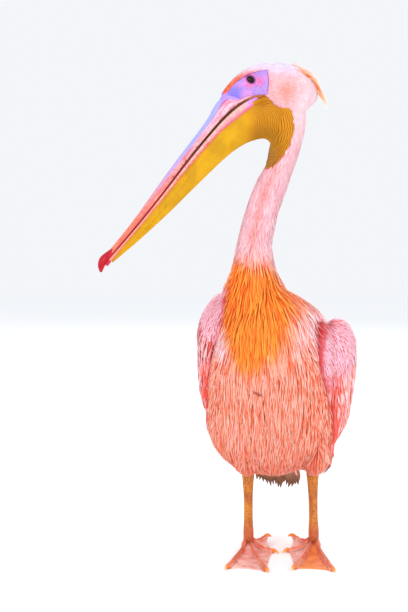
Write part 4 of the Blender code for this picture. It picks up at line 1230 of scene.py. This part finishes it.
top_forward, top_up, low_forward, low_up, top_wide, low_wide = (
    np.interp(along, np.linspace(0, 1, POUCH_STEPS), rows[:, i])[:, None] for i in range(6))
angle = turns(POUCH_AROUND)
hung, across = (1 - np.cos(angle)) / 2, squared(np.sin(angle), 0.6)
s = along[:, None]
throat = step(s, 0.38, 0.50) * np.ones_like(hung)[None]
forward = top_forward * (1 - hung) + low_forward * hung
upward = top_up * (1 - hung) + low_up * hung
wide = across[None] * (top_wide * (1 - hung) + low_wide * hung)
hits = np.zeros_like(wide)
for i, k in np.argwhere(np.abs(across)[None] * (s > 0.36) > 0.02):
    side = math.copysign(1, across[k])
    hit = flesh_surface.ray_cast(HEAD @ Vector((forward[i, k], side * ASIDE, upward[i, k])),
                                 HEAD.to_3x3() @ Vector((0, -side, 0)), ASIDE - 0.001)[0]
    if hit is not None:
        hits[i, k] = abs((HEAD.inverted() @ hit).y)
open_here = inside(THROAT_EDGE, forward.ravel(), upward.ravel()).reshape(wide.shape)
depth = POUCH_TUCK + (POUCH_LIES - POUCH_TUCK) * step(open_here, -0.0012, 0.0004)
rear = np.array([(a, z) for a, z in THROAT_EDGE if a < 0.045 and z < 0.874])[::-1]
from_rear = forward - np.interp(upward, rear[:, 1], rear[:, 0])
depth = depth + 0.0066 * step(forward, 0.006, 0.024) * bell(upward - 0.775, 0.030)
beyond = np.sqrt(np.maximum(hits - depth, 0) ** 2 + 1e-12) - np.abs(wide)
wide = np.sign(across)[None] * (np.abs(wide) + np.where(beyond > 0, beyond, 0))
# the folds run down the throat beside its rear edge
waver = 0.0011 * np.sin(95 * upward + 3) + 0.0006 * np.sin(260 * upward + 240 * forward)
fold = np.sin(2 * math.pi * (from_rear + waver) / FOLD_APART)
fold += 0.45 * np.sin(2 * math.pi * (from_rear - 2 * waver + 0.10 * upward) / (0.57 * FOLD_APART) + 1)
fold *= throat * np.sin(math.pi * np.clip(hung, 0.02, 0.98))[None] ** 0.35
corner = bell(forward - 0.062, 0.014) * bell(upward - 0.878, 0.014)  # gathered at the mouth's corner
gathers = np.sin(1300 * (upward + 0.55 * forward) + 2 * np.sin(300 * forward))
fold = fold * (1 - 0.7 * corner) + 1.2 * corner * gathers
points = np.stack([forward, wide, upward], -1)
around = np.roll(points, -1, axis=1) - np.roll(points, 1, axis=1)
out = unit(np.cross(np.gradient(points, axis=0), around), 1e-12)
out *= np.where((out[..., 1] * across[None]).sum() > 0, 1, -1)
billow = 0.0006 * (1 - throat) * np.sin(2 * math.pi * (2.0 * hung[None] + 2.5 * s))
billow *= np.sin(math.pi * hung)[None]
pouch = ring_mesh("pouch_skin", carried(HEAD, points + out * (WRINKLE * fold + billow)[..., None]))
for key, values, ends in (
    ("throat", throat, (0, 1)), ("fold", np.clip(fold / 3 + 0.5, 0, 1), (0.5, 0.5)),
    ("down", 0 * s + hung[None], (0.5, 0.5)), ("gathered", corner, (0, 0)),
):
    give(pouch, key, np.append(values.ravel(), ends))
pouch_paint, tree, shader = material_named(
    "pouch_skin", 0.5, subsurface_weight=0.06, subsurface_scale=0.003, subsurface_radius=(1.0, 0.6, 0.1),
    specular_ior_level=0.2)
throat_at, down_at, fold_at, gathered_at = values_at(tree, "throat", "down", "fold", "gathered")
coloured(shader, painted(
    (204, 152, 0), ((188, 138, 0), spotted(tree, 28.0, 3.0).ramp(0.40, 0.65)),
    # the second coat is painted shade in the troughs of the throat's wrinkles
    ((200, 128, 0), throat_at * 0.75), ((112, 52, 4), fold_at.ramp(0.52, 0.22) * throat_at * 0.8),
    # the last coat is painted shade among the gathered folds at the mouth's corner
    ((136, 88, 0), down_at.ramp(0.50, 0.95) * throat_at * 0.65), ((150, 84, 12), gathered_at * 0.35),
), spotted(tree, 420.0, 4.0), 0.35, 0.0005)
pouch.data.materials.append(pouch_paint)
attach(pouch, "root")
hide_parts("pouch")

# ---------------------------------------------------------------- shanks
# Bare scaly legs, thick at the heel joint and again where the toes start.
SHANK_X = 0.0655  # half the distance between the shanks
SHANK_ROWS = (  # y, height, half width, half depth, all about the stance
    (0.034, 0.164, 0.0122, 0.0130), (0.032, 0.148, 0.0130, 0.0152), (0.028, 0.130, 0.0112, 0.0128),
    (0.018, 0.100, 0.0094, 0.0114), (0.008, 0.062, 0.0092, 0.0111), (0.001, 0.042, 0.0104, 0.0118),
    (-0.002, 0.030, 0.0106, 0.0120), (-0.004, 0.020, 0.0098, 0.0112), (-0.004, 0.012, 0.0080, 0.0090),
)
SCUTE_APART = 0.0052
SHANK_INSET = 0.985  # the scaly skin keeps just inside the solid shank


def scaly(tree, shader, size, depth):
    """Small netted scales pressed into a surface; gives how far each place is from a groove."""
    coords = Field(add(tree, "ShaderNodeTexCoord").outputs["Object"])
    inputs = {"Vector": coords, "Scale": 1 / size}
    cells = add(tree, "ShaderNodeTexVoronoi", inputs, feature="DISTANCE_TO_EDGE")
    groove = Field(cells.outputs["Distance"]).ramp(0.0, 0.16)
    bump = add(tree, "ShaderNodeBump", {"Height": groove, "Strength": 0.8, "Distance": depth})
    tree.links.new(bump.outputs[0], shader.inputs["Normal"])
    return groove, coords


leg_paint, tree, shader = material_named("leg_skin", 0.45, coat_weight=0.1)
groove, coords = scaly(tree, shader, 0.0030, 0.0007)
high = Field(add(tree, "ShaderNodeSeparateXYZ", {0: coords}).outputs["Z"])
colour = painted((226, 140, 22), ((196, 104, 16), spotted(tree, 60.0, 4.0, coords).ramp(0.40, 0.62)),
                 ((212, 96, 44), high.ramp(0.060, 0.035)))
coloured(shader, painted((140, 66, 14), (colour, groove)))
rows, angle = smooth_rows(SHANK_ROWS, 90), turns(48)
scute = 0.0003 * np.abs(np.sin(rows[:, 1:2] * math.pi / SCUTE_APART)) * step(np.sin(angle)[None], -0.2, -0.7)
for name, side in SIDES.items():
    shank = ring_mesh("scaly_shank_" + name, np.stack([
        STANCE.x + side * SHANK_X + (rows[:, 2:3] + scute) * np.cos(angle)[None] * SHANK_INSET,
        STANCE.y + rows[:, 0:1] + (rows[:, 3:4] + scute) * np.sin(angle)[None] * SHANK_INSET,
        rows[:, 1:2] + 0 * angle[None],
    ], -1))
    shank.data.materials.append(leg_paint)
    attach(shank, "root")
    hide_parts("shank_" + name)

# ---------------------------------------------------------------- webbed feet and claws
# Four toes joined by one thin web, scutes across each toe's back and a short claw on its end.
TOES = {  # each toe's angle from straight ahead towards the other foot, and length with its claw
    LEFT: {"outer": (-10, 0.152), "middle": (21, 0.146), "inner": (70, 0.068), "hind": (124, 0.060)},
    RIGHT: {"outer": (-20, 0.142), "middle": (11.5, 0.154), "inner": (64, 0.066), "hind": (124, 0.058)},
}
CLAW_LENGTH, CLAW_SET, TOE_JOINT = 0.013, 0.004, 0.030
WEB, HEEL, WEB_BOW, HIND_RISE = 0.0030, 0.0145, 0.05, 0.016
TOE_HALF_WIDTH, TOE_ROOT_SPREAD, ROOT_RING = 0.0065, 11, 0.009
CLAW_ROWS = (  # share of its length, height, half width
    (0, 0.0052, 0.0036), (0.45, 0.0062, 0.0036), (0.8, 0.0044, 0.0024), (0.94, 0.0026, 0.0014),
    (1, 0.0012, 0.0005),
)
FOOT_ROWS, CLAW_RINGS = 64, 18
TOE_LINES, WEB_LINES, HEEL_LINES = 9, 14, 13  # lines over each toe, over each web and round the heel


def toe_way(side, degrees):
    turn = math.radians(degrees)
    return np.array((-side * math.sin(turn), -math.cos(turn), 0))


def toe_back(t, flank):
    """Height of a toe above the sole along it, with knuckles and scutes."""
    knuckles = sum(0.0016 * bell(t - k, 0.07) for k in (0.42, 0.72))
    scutes = 0.00035 * np.abs(np.sin(t * math.pi * 26)) * flank**2
    return (0.0105 - 0.002 * t + 0.0185 * (1 - t) ** 4 + knuckles) * flank + scutes - 0.0003


def foot_lines(side):
    """Each line that fans out from the joint: start, end, height along it, rise, toe share, order."""
    joint = np.array((STANCE.x + side * SHANK_X, STANCE.y - 0.002, 0))
    toes = list(TOES[side].values())
    t = np.linspace(0, 1, FOOT_ROWS) ** 1.15
    web = WEB + 0.021 * (1 - t) ** 5 - 0.0004
    lines = []
    for n, (degrees, length) in enumerate(toes):
        way, off = toe_way(side, degrees), toe_way(side, degrees + 90)
        rise = HIND_RISE if n == 3 else 0.0
        for across in np.linspace(-1, 1, TOE_LINES):
            flank = 0.35 + 0.65 * math.sqrt(1 - across**2)
            end = way * (length - CLAW_LENGTH * 0.8 - 0.005 * across**2) + off * TOE_HALF_WIDTH * across
            start = toe_way(side, degrees + TOE_ROOT_SPREAD * across) * ROOT_RING
            profile = np.maximum(web, toe_back(t, flank))
            lines.append((joint + start, joint + end, profile, rise, 1 - across**2, n))
        if n == 3:
            break
        next_degrees, next_length = toes[n + 1]
        one, two = length - CLAW_LENGTH, next_length - CLAW_LENGTH
        spread_by = math.radians(next_degrees - degrees)
        for share_of in np.linspace(0, 1, WEB_LINES + 2)[1:-1]:
            turn = spread_by * share_of
            chord = one * two * math.sin(spread_by)
            chord /= one * math.sin(turn) + two * math.sin(spread_by - turn)
            reach = chord * (1 - WEB_BOW * 4 * share_of * (1 - share_of))
            root = degrees + TOE_ROOT_SPREAD + (next_degrees - degrees - 2 * TOE_ROOT_SPREAD) * share_of
            start = toe_way(side, root) * ROOT_RING
            end = toe_way(side, degrees + math.degrees(turn)) * reach
            pleat = 0.0004 * math.sin(share_of * math.pi * 5) * t * np.sin(t * 9 + n)
            fold = -0.0006 * np.abs(np.sin(t * 21 + 5 * share_of)) ** 3 * step(t, 0.1, 0.4)
            rise = HIND_RISE * share_of if n == 2 else 0.0
            lines.append((joint + start, joint + end, web + pleat + fold * 0.5, rise, 0.0, n + 0.5))
    first, last = toes[0][0] - TOE_ROOT_SPREAD, toes[3][0] + TOE_ROOT_SPREAD
    for k in range(1, HEEL_LINES + 1):
        way = toe_way(side, last + (360 + first - last) * k / (HEEL_LINES + 1))
        lines.append((joint + way * ROOT_RING, joint + way * HEEL, 0.026 - 0.014 * t, 0.0, 1.0, 3.0))
    return joint, t, lines


foot_paint, tree, shader = material_named(
    "foot_skin", 0.42, subsurface_weight=0.1, subsurface_scale=0.003, coat_weight=0.15, coat_roughness=0.35)
groove, coords = scaly(tree, shader, 0.0021, 0.0004)
toe, web_hue, down_toe = values_at(tree, "toe", "web_hue", "down_toe")
cloud = spotted(tree, 55.0, 4.0, coords)
vein = spotted(tree, 130.0, 5.0, coords, Distortion=1.5)
web_warm = painted((242, 142, 66), ((226, 108, 40), cloud.ramp(0.42, 0.66)))
toe_hue = painted((232, 128, 92), ((216, 92, 56), cloud.ramp(0.45, 0.60)))
colour = painted(
    (246, 196, 188), ((236, 150, 134), cloud.ramp(0.42, 0.66)), (web_warm, web_hue),
    ((222, 110, 84), vein.ramp(0.56, 0.68) * 0.5), (toe_hue, toe.ramp(0.05, 0.6)),
    ((158, 52, 30), down_toe.ramp(0.14, 0.02)))
coloured(shader, painted((130, 44, 26), (colour, groove * 0.18 + 0.82)))

claw_paint, tree, shader = material_named("claw_horn", 0.35, coat_weight=0.2)
[tip_at] = values_at(tree, "along")
coloured(shader, painted((224, 120, 30), ((244, 180, 60), tip_at.ramp(0.2, 0.9))))

for name, side in SIDES.items():
    joint, t, lines = foot_lines(side)
    tops, soles, toe_share, hue = [], [], [], []
    for start, end, profile, rise, share_of, n in lines:
        place_at, lift = start + (end - start) * t[:, None], rise * t
        edge = np.where(t > 0.985, 0.55, 1.0)
        tops.append(np.stack([place_at[:, 0], place_at[:, 1], lift + profile * edge], -1))
        soles.append(np.stack([place_at[:, 0], place_at[:, 1], lift], -1))
        toe_share.append(share_of)
        hue.append(1.0 if side == LEFT and n == 0.5 else 0.0)
    wide = len(lines)
    points = np.vstack([*tops, *soles, joint + (0, 0, TOE_JOINT), joint])
    crown, under = 2 * wide * FOOT_ROWS, 2 * wide * FOOT_ROWS + 1
    faces = []
    for n in range(wide):
        a, b = n * FOOT_ROWS, (n + 1) % wide * FOOT_ROWS
        c, d = a + wide * FOOT_ROWS, b + wide * FOOT_ROWS
        last = FOOT_ROWS - 1
        faces += [(a + r, a + r + 1, b + r + 1, b + r) for r in range(last)]
        faces += [(d + r, d + r + 1, c + r + 1, c + r) for r in range(last)]
        faces += [(a + last, c + last, d + last, b + last), (crown, a, b), (under, d, c)]
    foot = mesh_piece("webbed_foot_" + name, points, faces)
    for key, per_line in (("toe", toe_share), ("web_hue", hue)):
        values = np.repeat(per_line, FOOT_ROWS)
        give(foot, key, np.concatenate([values, values, (1, 1)]))
    give(foot, "down_toe", np.concatenate([np.tile(t, 2 * wide), (0, 0)]))
    foot.data.materials.append(foot_paint)
    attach(foot, "root")
    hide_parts("foot_" + name)

    angle, upright = turns(CLAW_RINGS), np.array((0, 0, 1.0))
    for toe_name, (degrees, length) in TOES[side].items():
        way, across = toe_way(side, degrees), toe_way(side, degrees + 90)
        rise = HIND_RISE if toe_name == "hind" else 0.0
        root = joint + (0, 0, rise) + way * (length - CLAW_LENGTH - CLAW_SET)
        rings = [
            root + way * (CLAW_LENGTH + CLAW_SET) * share_of + upright * high
            + np.cos(angle)[:, None] * across * thick * 0.8 + np.sin(angle)[:, None] * upright * thick
            for share_of, high, thick in smooth_rows(CLAW_ROWS, CLAW_RINGS)
        ]
        claw = ring_mesh(f"nail_{toe_name}_{name}", rings)
        give(claw, "along", np.append(np.repeat(np.linspace(0, 1, CLAW_RINGS), CLAW_RINGS), (0, 1)))
        claw.data.materials.append(claw_paint)
        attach(claw, "root")
        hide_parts(f"claw_{toe_name}_{name}")

# ---------------------------------------------------------------- floor, lights and camera
# A pale studio floor and soft light from above, both sides and ahead; none of it is the bird.
floor_data = bpy.data.meshes.new("floor")
floor_data.from_pydata([(-6, -6, 0), (6, -6, 0), (6, 6, 0), (-6, 6, 0)], [], [(0, 1, 2, 3)])
floor = linked("floor", floor_data)
floor_paint, tree, shader = material_named("floor_paint", 0.8, base_color=(0.965, 0.97, 0.98, 1))
floor_data.materials.append(floor_paint)


def lamp(name, place, size, power, colour):
    """A square soft light aimed at the bird's breast."""
    light = bpy.data.lights.new(name, "AREA")
    light.size, light.energy, light.color = size, power, colour
    piece = linked(name, light)
    piece.location = place
    piece.rotation_euler = (Vector(place) - Vector((0.05, 0, 0.5))).to_track_quat("Z", "Y").to_euler()


lamp("key", (-1.6, -2.2, 2.2), 1.8, 44, (1.0, 0.98, 0.96))
lamp("front", (0.5, -3.2, 0.9), 2.4, 24, (1.0, 1.0, 1.0))
lamp("fill", (2.4, -1.4, 1.5), 2.0, 20, (1.0, 1.0, 1.0))
lamp("back", (0.6, 2.6, 2.4), 2.0, 40, (1.0, 1.0, 1.0))
bpy.context.scene.view_settings.view_transform = "Standard"
world = bpy.data.worlds.new("studio")
world.use_nodes = True
world.node_tree.nodes["Background"].inputs["Color"].default_value = (0.95, 0.97, 1.0, 1)
world.node_tree.nodes["Background"].inputs["Strength"].default_value = 0.95
bpy.context.scene.world = world

lens = bpy.data.cameras.new("camera")
lens.lens, lens.sensor_fit, lens.sensor_height = 70, "VERTICAL", 36
camera = linked("camera", lens)
camera.location = STANCE + Vector((-0.155, -2.34, 0.718))
camera.rotation_euler = (math.radians(84.5), 0, 0)
bpy.context.scene.camera = camera
